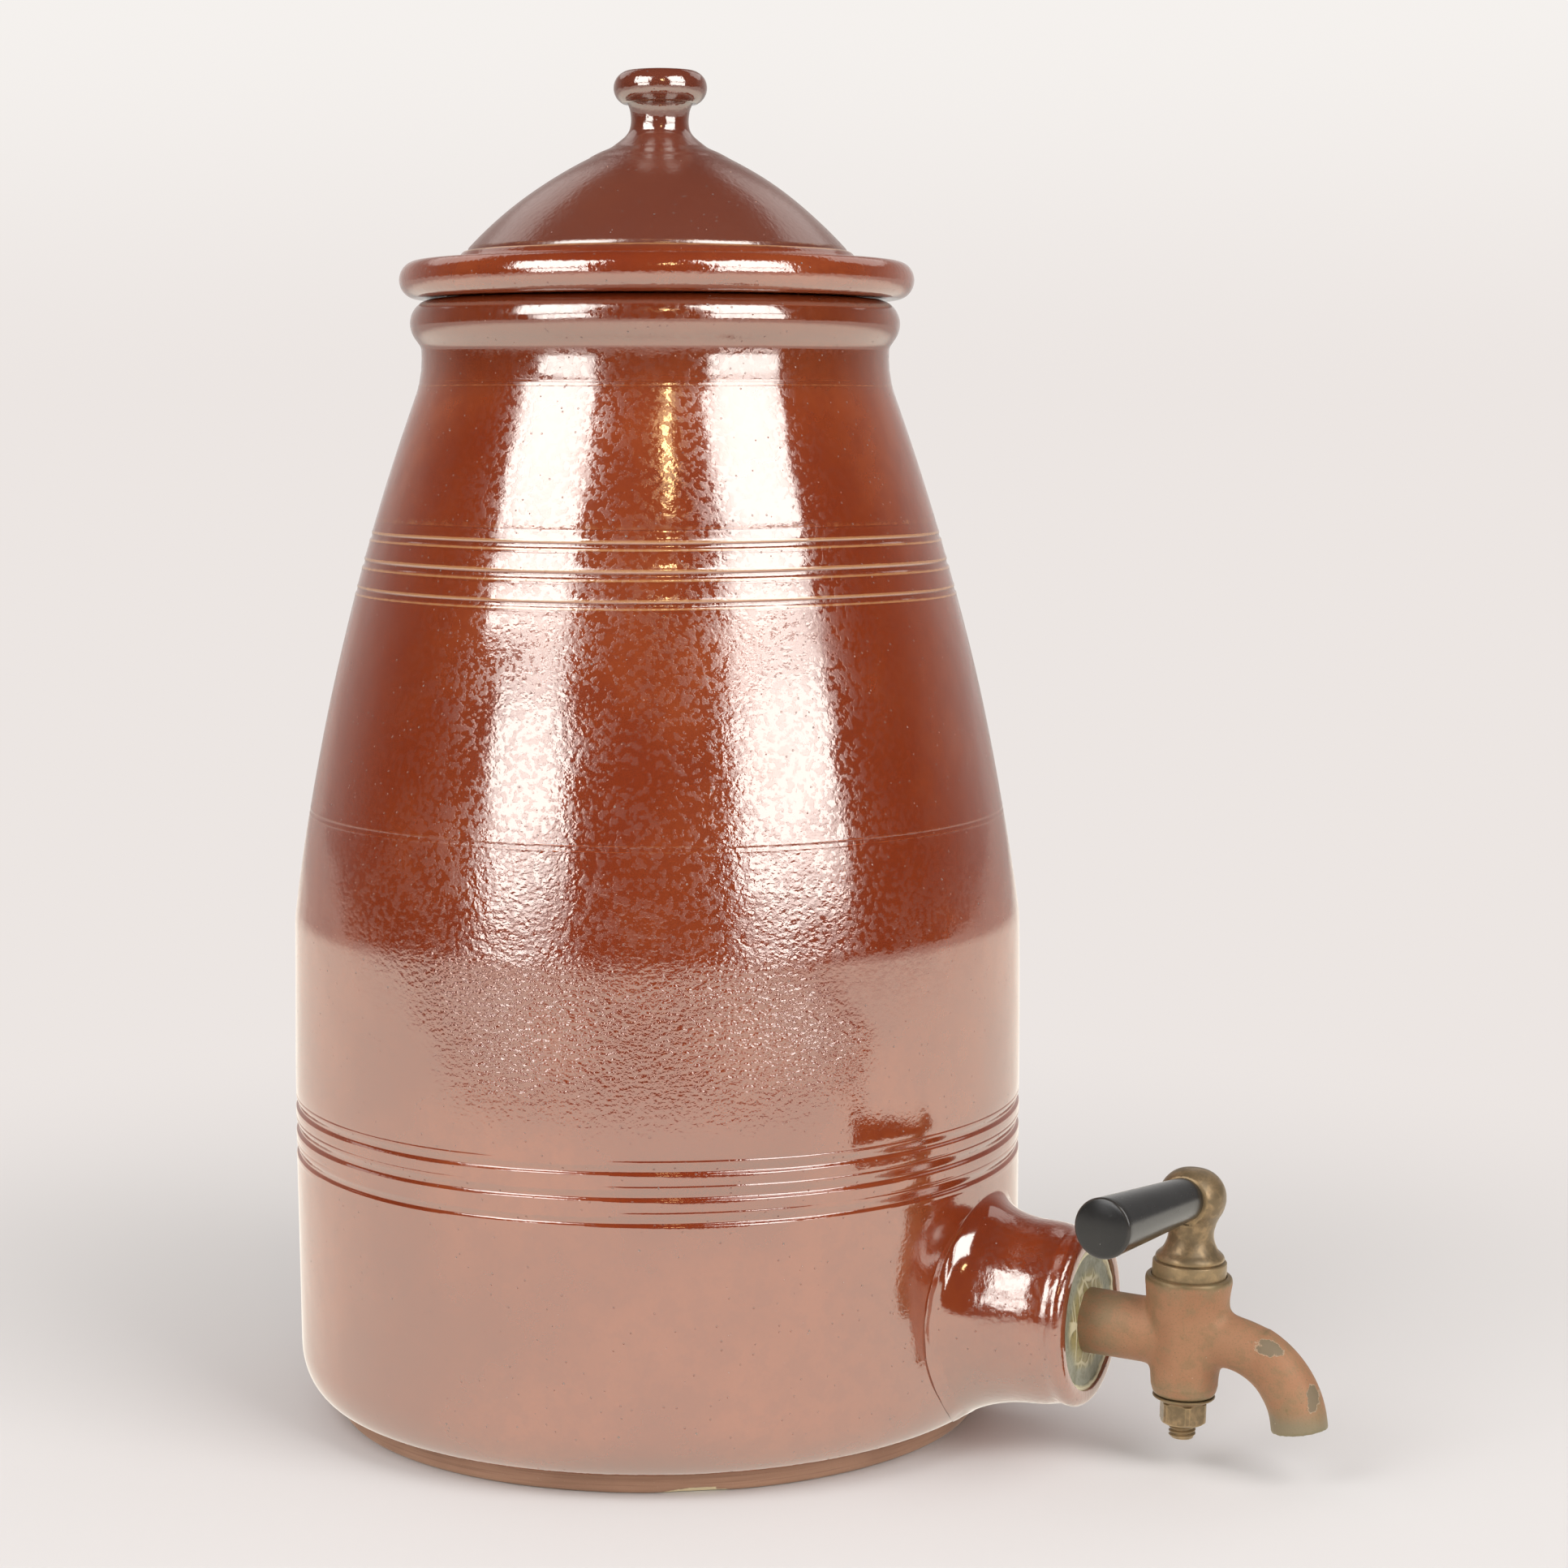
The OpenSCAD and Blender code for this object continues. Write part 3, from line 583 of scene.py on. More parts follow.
def finish_of(name):
    """The material with this name, made the first time that it is asked for."""
    found = bpy.data.materials.get(name)
    if found is not None:
        return found
    look, tap = bpy.context.scene.finishes, bpy.context.scene.tap
    makers = {
        "salt_glaze": lambda: glaze_finish(look),
        "bare_clay": lambda: clay_finish(look),
        "sealing_compound": lambda: putty_finish(look, tap),
        "tarnished_casting": lambda: casting_finish(look),
        "plug_brass": lambda: brass_finish(look, "plug_brass", (0.1, 0.2, 0.3)),
        "nut_brass": lambda: brass_finish(look, "nut_brass", (0.7, 0.4, 0.9)),
        "polished_black": lambda: grip_finish(look),
    }
    return makers[name]()


# Shapes


def arc(centre, half_w, half_h, start, end, count):
    """Points of an elliptic arc from one angle to another, in degrees."""
    turns = [math.radians(start + (end - start) * i / count) for i in range(count + 1)]
    return [(centre[0] + half_w * math.cos(t), centre[1] + half_h * math.sin(t)) for t in turns]


def swell_at(low, high, rise, z):
    """Radius at a height on the arc from low up to high that swells outwards by rise."""
    a, b = Vector(low), Vector(high)
    chord = (b - a).length
    radius = chord * chord / (8 * rise) + rise / 2
    out = Vector((b.y - a.y, a.x - b.x)) / chord
    centre = (a + b) / 2 - out * (radius - rise)
    return centre.x + math.sqrt(radius**2 - (z - centre.y) ** 2)


def swell(low, high, rise, count):
    """Points of the arc from low up to high that swells outwards by rise."""
    a, b = Vector(low), Vector(high)
    heights = [a.y + (b.y - a.y) * i / count for i in range(count + 1)]
    return [(swell_at(low, high, rise, z), z) for z in heights]


def smoothed(points, gap):
    """Points about gap apart on a smooth curve through the given ones."""
    ends = [points[0], *points, points[-1]]
    made = []
    for before, a, b, after in zip(ends, ends[1:], ends[2:], ends[3:]):
        p0, p1, p2, p3 = (Vector(p) for p in (before, a, b, after))
        count = max(1, round((p2 - p1).length / gap))
        for i in range(count):
            t = i / count
            curve = (2 * p1 + (p2 - p0) * t + (2 * p0 - 5 * p1 + 4 * p2 - p3) * t * t
                     + (3 * p1 - p0 - 3 * p2 + p3) * t**3) / 2
            made.append(tuple(curve))
    return [*made, tuple(points[-1])]


def turned(points, steps):
    """A closed shape turned about Z from an outline of radii and heights."""
    bm = bmesh.new()
    verts = [bm.verts.new((max(r, 0), 0, z)) for r, z in points]
    for a, b in zip(verts, verts[1:]):
        bm.edges.new((a, b))
    bmesh.ops.spin(
        bm, geom=bm.verts[:] + bm.edges[:], cent=(0, 0, 0), axis=(0, 0, 1), dvec=(0, 0, 0),
        angle=FULL_TURN, steps=steps, use_merge=True, use_normal_flip=False,
        use_duplicate=False)
    return closed(bm)


def closed(bm):
    """Merges doubles and points every face outwards."""
    bmesh.ops.remove_doubles(bm, verts=bm.verts, dist=MERGE)
    bmesh.ops.recalc_face_normals(bm, faces=bm.faces)
    return bm


def to_radius(vert, radius):
    """Moves a vertex level, to that distance from the Z axis."""
    now = Vector((vert.co.x, vert.co.y)).length
    vert.co.x *= radius / now
    vert.co.y *= radius / now


def soften(bm, verts, times):
    """Smooths vertices that many times."""
    for _ in range(times):
        bmesh.ops.smooth_vert(bm, verts=verts, factor=0.5, use_axis_x=True, use_axis_y=True,
                              use_axis_z=True)


def mesh_of(bm, name):
    """The shape as a mesh, with the bmesh freed."""
    mesh = bpy.data.meshes.new(name)
    bm.to_mesh(mesh)
    bm.free()
    return mesh


def linked(name, data):
    """A new object in the scene with that data."""
    made = bpy.data.objects.new(name, data)
    bpy.context.scene.collection.objects.link(made)
    return made


def evaluated(holder):
    """A new bmesh of an object as its modifiers or its bevel leave it."""
    seen = holder.evaluated_get(bpy.context.evaluated_depsgraph_get())
    bm = bmesh.new()
    bm.from_mesh(seen.to_mesh())
    seen.to_mesh_clear()
    return bm


def laid_along_x(height):
    """Matrix that lays a shape turned about Z down along X, at a height."""
    return Matrix.Translation((0, 0, height)) @ Matrix.Rotation(math.pi / 2, 4, "Y")


def mark_edges(bm, reach, spread=2):
    """Writes how sharply each vertex bends out (edge) and in (hollow), 1 at a radius of reach."""
    bm.normal_update()
    layers = [bm.verts.layers.float.new(name) for name in ("edge", "hollow")]
    for vert in bm.verts:
        turns = [2 * (vert.co - e.other_vert(vert).co).dot(vert.normal) / e.calc_length() ** 2
                 for e in vert.link_edges if e.calc_length() > 0]
        vert[layers[0]] = max(0.0, min(1.5, max(turns, default=0) * reach))
        vert[layers[1]] = max(0.0, min(1.5, -min(turns, default=0) * reach))
    for layer in layers * spread:
        levels = {v: v[layer] for v in bm.verts}
        for vert in bm.verts:
            near = [levels[e.other_vert(vert)] for e in vert.link_edges]
            if near:
                vert[layer] = 0.5 * levels[vert] + 0.5 * sum(near) / len(near)
    return bm


def sway(point, size, seed=0.0):
    """Smooth noise from -1 to 1 whose features are about size wide."""
    return noise.noise(Vector(point) / size + Vector((seed, 2 * seed, 3 * seed)))


def ramp(value, low, high):
    """0 below low, 1 above high, and smooth between."""
    t = min(1.0, max(0.0, (value - low) / (high - low)))
    return t * t * (3 - 2 * t)


def piece(name, bm, body, nodes, finishes, crease=35):
    """Makes the finished piece, rides it on its body and puts it in place of CAD nodes."""
    mesh = mesh_of(bm, name)
    for finish in finishes:
        mesh.materials.append(finish_of(finish))
    mesh.polygons.foreach_set("use_smooth", [True] * len(mesh.polygons))
    mesh.set_sharp_from_angle(angle=math.radians(crease))
    made = linked(name, mesh)
    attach(made, body)
    if nodes:
        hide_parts(*nodes)
    return made


def with_modifier(bm, kind, **settings):
    """The bmesh after one modifier. A Boolean's other shape is given as a bmesh."""
    cutter = settings.pop("cutter", None)
    shapes = [shape for shape in (bm, cutter) if shape is not None]
    holders = [linked("shape", mesh_of(shape, "shape")) for shape in shapes]
    modifier = holders[0].modifiers.new("shape", kind)
    for name, value in settings.items():
        setattr(modifier, name, value)
    if cutter is not None:
        modifier.object = holders[1]
    result = evaluated(holders[0])
    for holder in holders:
        mesh = holder.data
        bpy.data.objects.remove(holder)
        bpy.data.meshes.remove(mesh)
    return result


def cut(bm, cutter):
    """The shape with another cut out of it."""
    return with_modifier(bm, "BOOLEAN", operation="DIFFERENCE", solver="EXACT", cutter=cutter)


def bar(radius, start, end):
    """A round bar along X."""
    bm = bmesh.new()
    place = Matrix.Translation(((start + end) / 2, 0, 0)) @ laid_along_x(0)
    bmesh.ops.create_cone(
        bm, cap_ends=True, cap_tris=False, segments=96, radius1=radius, radius2=radius,
        depth=end - start, matrix=place)
    return bm


def joined(shapes):
    """Several shapes as the shells of one."""
    whole = bmesh.new()
    for shape in shapes:
        mesh = mesh_of(shape, "shell")
        whole.from_mesh(mesh)
        bpy.data.meshes.remove(mesh)
    return whole


# The pot


def wall_radius(pot, z):
    """Outside radius of the pot at a height, without its turned lines."""
    corner_z = pot.foot_h + pot.corner_h
    belly_top = corner_z + pot.belly_h
    neck_start = belly_top + pot.shoulder_h
    step_r = pot.foot_r + pot.foot_step

    def belly(height):
        from_middle = (height - (corner_z + belly_top) / 2) * 2 / pot.belly_h
        return pot.belly_r - pot.belly_bow * from_middle**2

    def neck(height):
        fall = height - neck_start - pot.neck_h
        return pot.neck_r + pot.neck_curve_r - math.sqrt(pot.neck_curve_r**2 - fall**2)

    if z < corner_z:
        drop = min(1.0, (corner_z - z) / pot.corner_h)
        return step_r + (belly(corner_z) - step_r) * math.sqrt(1 - drop**2)
    if z < belly_top:
        return belly(z)
    if z < neck_start:
        low, high = (belly(belly_top), belly_top), (neck(neck_start), neck_start)
        return swell_at(low, high, pot.shoulder_bow, z)
    return neck(z)


# Grooves between two ridges: height, width, depth, and height of the ridges, in mm
RIDGES = [(278.2, 1.4, 0.24, 0.14), (269.8, 1.6, 0.27, 0.16), (261.4, 1.4, 0.20, 0.12),
          (325.2, 0.8, 0.02, 0.05), (192.5, 0.9, 0.03, 0.04), (282.5, 0.5, 0.02, 0.03)]
# Cuts with a steep lower side: height, depth and width, in mm
CUTS = [(99.3, 0.85, 2.2), (91.8, 0.95, 2.4), (84.3, 0.80, 2.1),
        (102.6, 0.14, 0.6), (95.2, 0.16, 0.6), (87.6, 0.10, 0.6)]


def line_relief(z):
    """How far the turned lines move the wall out at a height, in metres."""
    total = 0.0
    for height, width, depth, lip in RIDGES:
        off = abs(z / MM - height) / width
        if off < 2.2:
            total += lip * math.exp(-((off - 0.95) / 0.32) ** 2)
            total -= depth * math.exp(-(off / 0.5) ** 4)
    for height, depth, width in CUTS:
        off = (z / MM - height) / width
        if -2 < off < 2:
            total -= depth * ramp(off, -0.5, -0.05) * (1 - ramp(off, 0.0, 1.3))
            total += 0.12 * depth * math.exp(-((off + 0.85) / 0.3) ** 2)
    return total * MM


def wall_levels(low, high):
    """Heights for the wall's outline: wide apart, and close together at the turned lines."""
    zones = [(z - 1.7 * w, z + 1.7 * w, 0.25) for z, w, *_ in RIDGES]
    zones += [(z - 1.3 * w, z + 1.5 * w, 0.2) for z, _, w in CUTS]
    fine = [start + i * gap for start, end, gap in zones for i in range(int((end - start) / gap))]
    wide = [low / MM + 2.4 * i for i in range(int((high - low) / (2.4 * MM)))]
    wide = [z for z in wide if not any(start - 0.5 < z < end + 0.5 for start, end, _ in zones)]
    levels = sorted(z * MM for z in wide + fine)
    kept = [z for z, after in zip(levels, [*levels[1:], high]) if after - z > 0.1 * MM]
    return [*kept, high]


class WATERPOT_OT_jar(bpy.types.Operator):
    """Throws the pot: foot, belly, shoulder, neck and rim, glazed inside and out"""

    bl_idname = "waterpot.jar"
    bl_label = "Pot"

    def execute(self, context):
        pot = context.scene.pot
        corner_z = pot.foot_h + pot.corner_h
        neck_z = corner_z + pot.belly_h + pot.shoulder_h + pot.neck_h
        step_r = pot.foot_r + pot.foot_step
        rim = (pot.neck_r + pot.rim_out - pot.rim_half_w, POT_HIGH.z - pot.rim_half_h)
        corner_w = wall_radius(pot, corner_z) - step_r
        mouth_r = pot.neck_r - pot.wall

        foot = [(0, 0.5), (60, 0.5), (76, 0.42), (80, 0.1), (82, 0), (101.2, 0), (102.2, 0.35),
                (102.7, 1.0), (102.8, 2.0), (102.8, 3.0), (102.8, 4.0), (102.8, 5.0),
                (102.85, 6.0), (103.1, 6.55), (103.9, 6.85)]
        outline = [(r * MM, z * MM) for r, z in foot]
        outline += arc((step_r, corner_z), corner_w, pot.corner_h, -84, -4, 14)
        levels = wall_levels(corner_z, neck_z - 0.5 * MM)
        outline += [(wall_radius(pot, z) + line_relief(z), z) for z in levels]
        neck = [(wall_radius(pot, neck_z), neck_z), (pot.neck_r + 0.02 * MM, neck_z + 1.8 * MM),
                (pot.neck_r + 0.25 * MM, neck_z + 3.4 * MM),
                *arc(rim, pot.rim_half_w, pot.rim_half_h, -38, 84, 16)]
        outline += smoothed(neck, 0.8 * MM)
        lip = arc((mouth_r + 2 * MM, POT_HIGH.z - 2 * MM), 2 * MM, 2 * MM, 92, 178, 6)
        outline += [(rim[0] - 1 * MM, POT_HIGH.z), *lip]
        inside = [neck_z - 4 * i * MM for i in range(75)]
        outline += [(wall_radius(pot, z) - pot.wall, z) for z in inside
                    if z > pot.floor_t + pot.floor_curve_r]
        curve = (wall_radius(pot, pot.floor_t + pot.floor_curve_r) - pot.wall - pot.floor_curve_r,
                 pot.floor_t + pot.floor_curve_r)
        outline += arc(curve, pot.floor_curve_r, pot.floor_curve_r, -8, -90, 8)
        outline += [(60 * MM, pot.floor_t), (30 * MM, pot.floor_t), (0, pot.floor_t)]

        bm = turned(outline, 208)
        hole_r, hole_start, hole_end = 13 * MM, 60 * MM, 114.5 * MM
        hole = bar(hole_r, hole_start, hole_end)
        bmesh.ops.translate(hole, verts=hole.verts, vec=(0, 0, context.scene.tap.height))
        bm = cut(bm, hole)
        mark_edges(bm, 0.9 * MM)
        chip = bm.verts.layers.float.new("chip")
        chip_at = Vector((0.558, -0.830, 0)) * pot.foot_r
        # Half its width and its height in mm, and its depth
        chip_w, chip_h, chip_depth = 11, 1.5, 1.0 * MM
        for vert in bm.verts:
            x, y, z = vert.co
            hold = ramp(z, 8 * MM, 40 * MM) * (1 - ramp(z, 325 * MM, 342 * MM))
            out = Vector((x, y, 0)).normalized()
            if z > 8 * MM:
                vert.co.z += pot.wander * sway((x, y, z * 2), 70 * MM) * hold
                vert.co += out * (0.35 * MM * sway((x, y, z), 55 * MM, 4.0) * hold)
            reach = Vector(((x - chip_at.x) / chip_w, (y - chip_at.y) / chip_w, z / chip_h)) / MM
            ragged = reach.length + 0.25 * sway((x, y, z), 3 * MM, 7.0)
            near = 1 - ramp(ragged, 0.65, 1.15)
            vert[chip] = near
            vert.co -= out * (chip_depth * near)
            if Vector((vert.co.x, vert.co.y)).length > pot.belly_r:
                to_radius(vert, pot.belly_r)
        # The glaze stops just above the foot, which is bare clay
        glaze_end = 6.8 * MM
        for face in bm.faces:
            face.material_index = 1 if face.calc_center_median().z < glaze_end else 0
        piece("pot_wall", bm, "pot", ["pot_jar"], ["salt_glaze", "bare_clay"])
        return {"FINISHED"}


class WATERPOT_OT_boss(bpy.types.Operator):
    """Throws the boss for the tap and lutes its trumpet foot to the belly"""

    bl_idname = "waterpot.boss"
    bl_label = "Boss"

    def execute(self, context):
        pot = context.scene.pot
        face_x = POT_HIGH.x
        wall_x = pot.belly_r
        reach = pot.boss_root_r - pot.boss_waist_r
        skirt = []
        for i in range(25):
            t = math.radians(90 * i / 24)
            skirt.append((pot.boss_root_r - reach * math.sin(t),
                          wall_x + pot.boss_root_l * (1 - math.cos(t))))
        lip_r, lip_round = pot.boss_lip_r, pot.boss_lip_round
        lip = arc((lip_r - lip_round, face_x - lip_round), lip_round, lip_round, 4, 88, 12)
        shaft = [skirt[-1], (pot.boss_waist_r - 0.35 * MM, wall_x + pot.boss_root_l + 5 * MM),
                 (lip_r - 0.5 * MM, face_x - lip_round - 3.4 * MM),
                 (lip_r - 0.25 * MM, face_x - lip_round - 1.6 * MM), lip[0]]
        outline = [(pot.boss_root_r - 3 * MM, wall_x - 5 * MM),
                   (pot.boss_root_r + 0.6 * MM, wall_x - 1.2 * MM),
                   (pot.boss_root_r + 0.9 * MM, wall_x - 0.2 * MM), *skirt[:-1]]
        outline += smoothed(shaft, 0.8 * MM)[:-1] + lip
        outline += [(pot.socket_r + 0.5 * MM, face_x),
                    (pot.socket_r + 0.1 * MM, face_x - 0.2 * MM),
                    (pot.socket_r, face_x - 0.6 * MM), (pot.socket_r, face_x - 3 * MM),
                    (pot.socket_r, face_x - 6 * MM), (pot.socket_r - 2 * MM, face_x - 7 * MM)]
        bm = turned(outline, 224)
        # Turned about Z, so it is laid down along X; its ends stay open inside wall and seal
        bm.transform(laid_along_x(pot.boss_rise))
        mark_edges(bm, 0.9 * MM)
        foot_end = wall_x + pot.boss_root_l
        for vert in bm.verts:
            x, y, z = vert.co
            follow = 1 - ramp(x, wall_x, foot_end)
            round_wall = math.sqrt(max(0, wall_radius(pot, max(z, pot.foot_h)) ** 2 - y * y))
            vert.co.x += (round_wall - wall_x) * follow
            rise = z - pot.boss_rise
            from_axis = Vector((0, y, rise)).normalized()
            ripple = 0.35 * MM * sway((x * 0.6, y, z), 17 * MM, 2.0)
            free = ramp(x, wall_x - 1 * MM, wall_x + 6 * MM) * (1 - ramp(x, 140 * MM, 145 * MM))
            vert.co += from_axis * ripple * free
            # The seam stands proud on the side where the clay was pressed on
            seam = 1 - ramp(abs(x - wall_x), 0.4 * MM, 1.4 * MM)
            pressed = ramp(-from_axis.y * 0.8 - from_axis.z * 0.5, 0.1, 0.8)
            uneven = 0.7 + 0.5 * sway((y, z, 0), 6 * MM)
            vert.co.x += seam * (0.9 * pressed - 0.15) * MM * uneven
        piece("tap_boss", bm, "pot", [], ["salt_glaze"])
        return {"FINISHED"}


class WATERPOT_OT_lid(bpy.types.Operator):
    """Throws the lid: ring, rounded edge, dome and knob"""

    bl_idname = "waterpot.lid"
    bl_label = "Lid"

    def execute(self, context):
        lid = context.scene.pot_lid
        base_z = LID_LOW.z + lid.ring_h
        edge_r, edge_z = LID_HIGH.x - lid.edge_w, base_z + lid.edge_half_h
        top_z = edge_z + lid.edge_half_h
        dome_z = top_z + 2.9 * MM
        dome_top = dome_z + lid.dome_h
        neck_z = dome_top + lid.neck_h
        knob_z = neck_z + lid.knob_h
        roof_z = dome_top - lid.lid_t
        cut_w = 1 * MM
        outline = [(lid.ring_in_r, LID_LOW.z + cut_w), (lid.ring_in_r + cut_w, LID_LOW.z),
                   (lid.ring_r - cut_w, LID_LOW.z), (lid.ring_r, LID_LOW.z + cut_w),
                   (lid.ring_r, base_z - 0.6 * MM), (lid.ring_r + 0.6 * MM, base_z)]
        outline += arc((edge_r, edge_z), lid.edge_w, lid.edge_half_h, -90, 88, 26)
        step = [(edge_r - 0.5 * MM, top_z), (66 * MM, top_z + 0.55 * MM),
                (63.2 * MM, top_z + 0.75 * MM), (62.1 * MM, top_z + 1.15 * MM),
                (61.5 * MM, top_z + 1.9 * MM), (61.0 * MM, top_z + 2.55 * MM),
                (60.4 * MM, top_z + 2.95 * MM), (59.6 * MM, top_z + 3.0 * MM),
                (59.0 * MM, top_z + 3.25 * MM)]
        outline += smoothed(step, 0.35 * MM)[:-1]
        dome = swell((lid.dome_r, dome_z), (lid.dome_top_r, dome_top), lid.dome_bow, 26)
        # The foot of the knob: out from its neck and up from the dome, in mm
        flare = [(9.7, 1.7), (6.5, 3.1), (4.6, 4.4), (3.2, 5.5), (1.9, 6.6), (1.05, 7.6),
                 (0.5, 8.6), (0.15, 10.0), (0.0, 11.5), (0.1, 13.3), (0.45, 15.2)]
        neck = [(lid.neck_r + out * MM, dome_top + up * MM) for out, up in flare]
        knob = [(lid.neck_r + 1.3 * MM, knob_z - 4.75 * MM),
                *arc((lid.knob_r - lid.knob_half_t, knob_z), lid.knob_half_t, lid.knob_half_t,
                     -62, 80, 18)]
        outline += smoothed([*dome[1:], *neck, *knob], 0.9 * MM)[:-1]
        crown = LID_HIGH.z
        outline += [(lid.knob_r - lid.knob_half_t - 0.8 * MM, crown - 0.42 * MM),
                    (6.2 * MM, crown - 0.16 * MM), (3 * MM, crown - 0.04 * MM), (0, crown)]
        inner = swell((lid.ring_in_r - cut_w, edge_z), (lid.dome_top_r - 1 * MM, roof_z - cut_w),
                      lid.dome_bow, 12)
        outline += [(0, roof_z), (lid.dome_top_r * 0.5, roof_z),
                    (lid.dome_top_r - 3 * MM, roof_z)]
        outline += inner[::-1] + [(lid.ring_in_r, LID_LOW.z + 3 * MM),
                                  (lid.ring_in_r, LID_LOW.z + cut_w)]
        bm = turned(outline, 224)
        mark_edges(bm, 0.9 * MM)
        # It was thrown by hand, so it leans a little towards the right of the photograph
        right = math.radians(VIEW_TURN)
        lean = Vector((math.cos(right), math.sin(right), 0))
        for vert in bm.verts:
            x, y, z = vert.co
            part = (z - edge_z) / (knob_z - edge_z)
            vert.co += lean * (lid.lean_low + (lid.lean_high - lid.lean_low) * part)
            hold = ramp(z, top_z, dome_z + 4 * MM)
            out = Vector((x, y, 0)).normalized()
            vert.co += out * (0.30 * MM * sway((x, y, z), 26 * MM, 5.0) * hold)
            if dome_top > z > top_z:
                vert.co.z += 0.25 * MM * sway((x, y, z), 30 * MM, 1.0)
        piece("lid_cover", bm, "lid", ["lid"], ["salt_glaze"])
        return {"FINISHED"}


# The tap


def tap_place(tap):
    """Matrix from the tap's own frame, plug along +Z and waterway along X, to the pot's."""
    return (Matrix.Translation((POT_HIGH.x, 0, tap.height)) @ Matrix.Rotation(tap.droop, 4, "Y")
            @ Matrix.Translation((tap.plug_out, 0, 0)))


def grip_place(tap):
    """Matrix from the grip's own frame, grip along +X from the middle of the head."""
    return (tap_place(tap) @ Matrix.Translation((0, 0, tap.head_z))
            @ Matrix.Rotation(-math.pi / 2 - tap.grip_turn, 4, "Z")
            @ Matrix.Rotation(-tap.grip_rise, 4, "Y"))


class WATERPOT_OT_seal(bpy.types.Operator):
    """Smears the sealing compound round the shank"""

    bl_idname = "waterpot.seal"
    bl_label = "Seal"

    def execute(self, context):
        pot, tap = context.scene.pot, context.scene.tap
        low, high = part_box("tap_seal")
        face = high.x
        inner = tap.shank_r - 0.4 * MM
        outline = [(inner, low.x), (pot.socket_r, low.x), (pot.socket_r, face - 2 * MM)]
        outline += smoothed([(pot.socket_r, face - 0.5 * MM), (21.6 * MM, face - 0.1 * MM),
                             (20.6 * MM, face - 0.15 * MM), (20.0 * MM, face - 0.6 * MM),
                             (17 * MM, face - 0.75 * MM), (13.5 * MM, face - 0.35 * MM),
                             (11.2 * MM, face - 0.15 * MM), (10.3 * MM, face),
                             (inner, face)], 0.45 * MM)
        outline += [(inner, low.x)]
        bm = turned(outline, 160)
        bm.transform(laid_along_x(tap.height))
        mark_edges(bm, 0.5 * MM)
        for vert in bm.verts:
            x, y, z = vert.co
            if x > face - 1.8 * MM:
                lumps = 0.6 * sway((x, y, z), 3.2 * MM) + 0.5 * sway((x, y, z), 7 * MM, 3.0)
                vert.co.x += min(0.35 * lumps - 0.35, 0) * MM
        piece("seal_face", bm, "pot", ["tap_seal"], ["sealing_compound"])
        return {"FINISHED"}


def spout_path(tap, past):
    """Points along the middle of the spout in the tap's frame, run on past its outlet."""
    points = [Vector((0, 0, 0)), Vector((tap.spout_start, 0, 0))]
    turn = tap.spout_end_slope - tap.spout_slope
    centre = Vector((tap.spout_start, 0, -tap.spout_bend_r))
    for i in range(1, 25):
        a = turn * i / 24
        points.append(centre + tap.spout_bend_r * Vector((math.sin(a), 0, math.cos(a))))
    end = Vector((math.cos(turn), 0, -math.sin(turn)))
    points.append(points[-1] + end * (tap.spout_end_l + past))
    place = Matrix.Translation((0, 0, tap.spout_rise)) @ Matrix.Rotation(tap.spout_slope, 4, "Y")
    return [place @ p for p in points]


def tube(points, radii):
    """A closed round bar along points, with a radius at each."""
    curve = bpy.data.curves.new("tube", "CURVE")
    curve.dimensions = "3D"
    curve.bevel_depth = 1.0
    curve.bevel_resolution = 14
    curve.use_fill_caps = True
    spline = curve.splines.new("POLY")
    spline.points.add(len(points) - 1)
    for point, at, radius in zip(spline.points, points, radii):
        point.co, point.radius = (*at, 1), radius
    holder = linked("tube", curve)
    bm = evaluated(holder)
    bpy.data.objects.remove(holder)
    bpy.data.curves.remove(curve)
    return closed(bm)


# Depth of the collar's seat in the top of the barrel
SEAT_DEPTH = 2.2 * MM
# Where the skin has flaked off: middle and reach along each axis, in mm from the plug
FLAKED_SPOTS = [((28.5, -6, 2.2), (4.6, 4, 2.0)), ((41, -4, -10.5), (1.5, 4, 4.6)),
                ((24, 7, -2), (4, 3, 2.5)), ((-12, 6, 5), (3, 3, 2))]


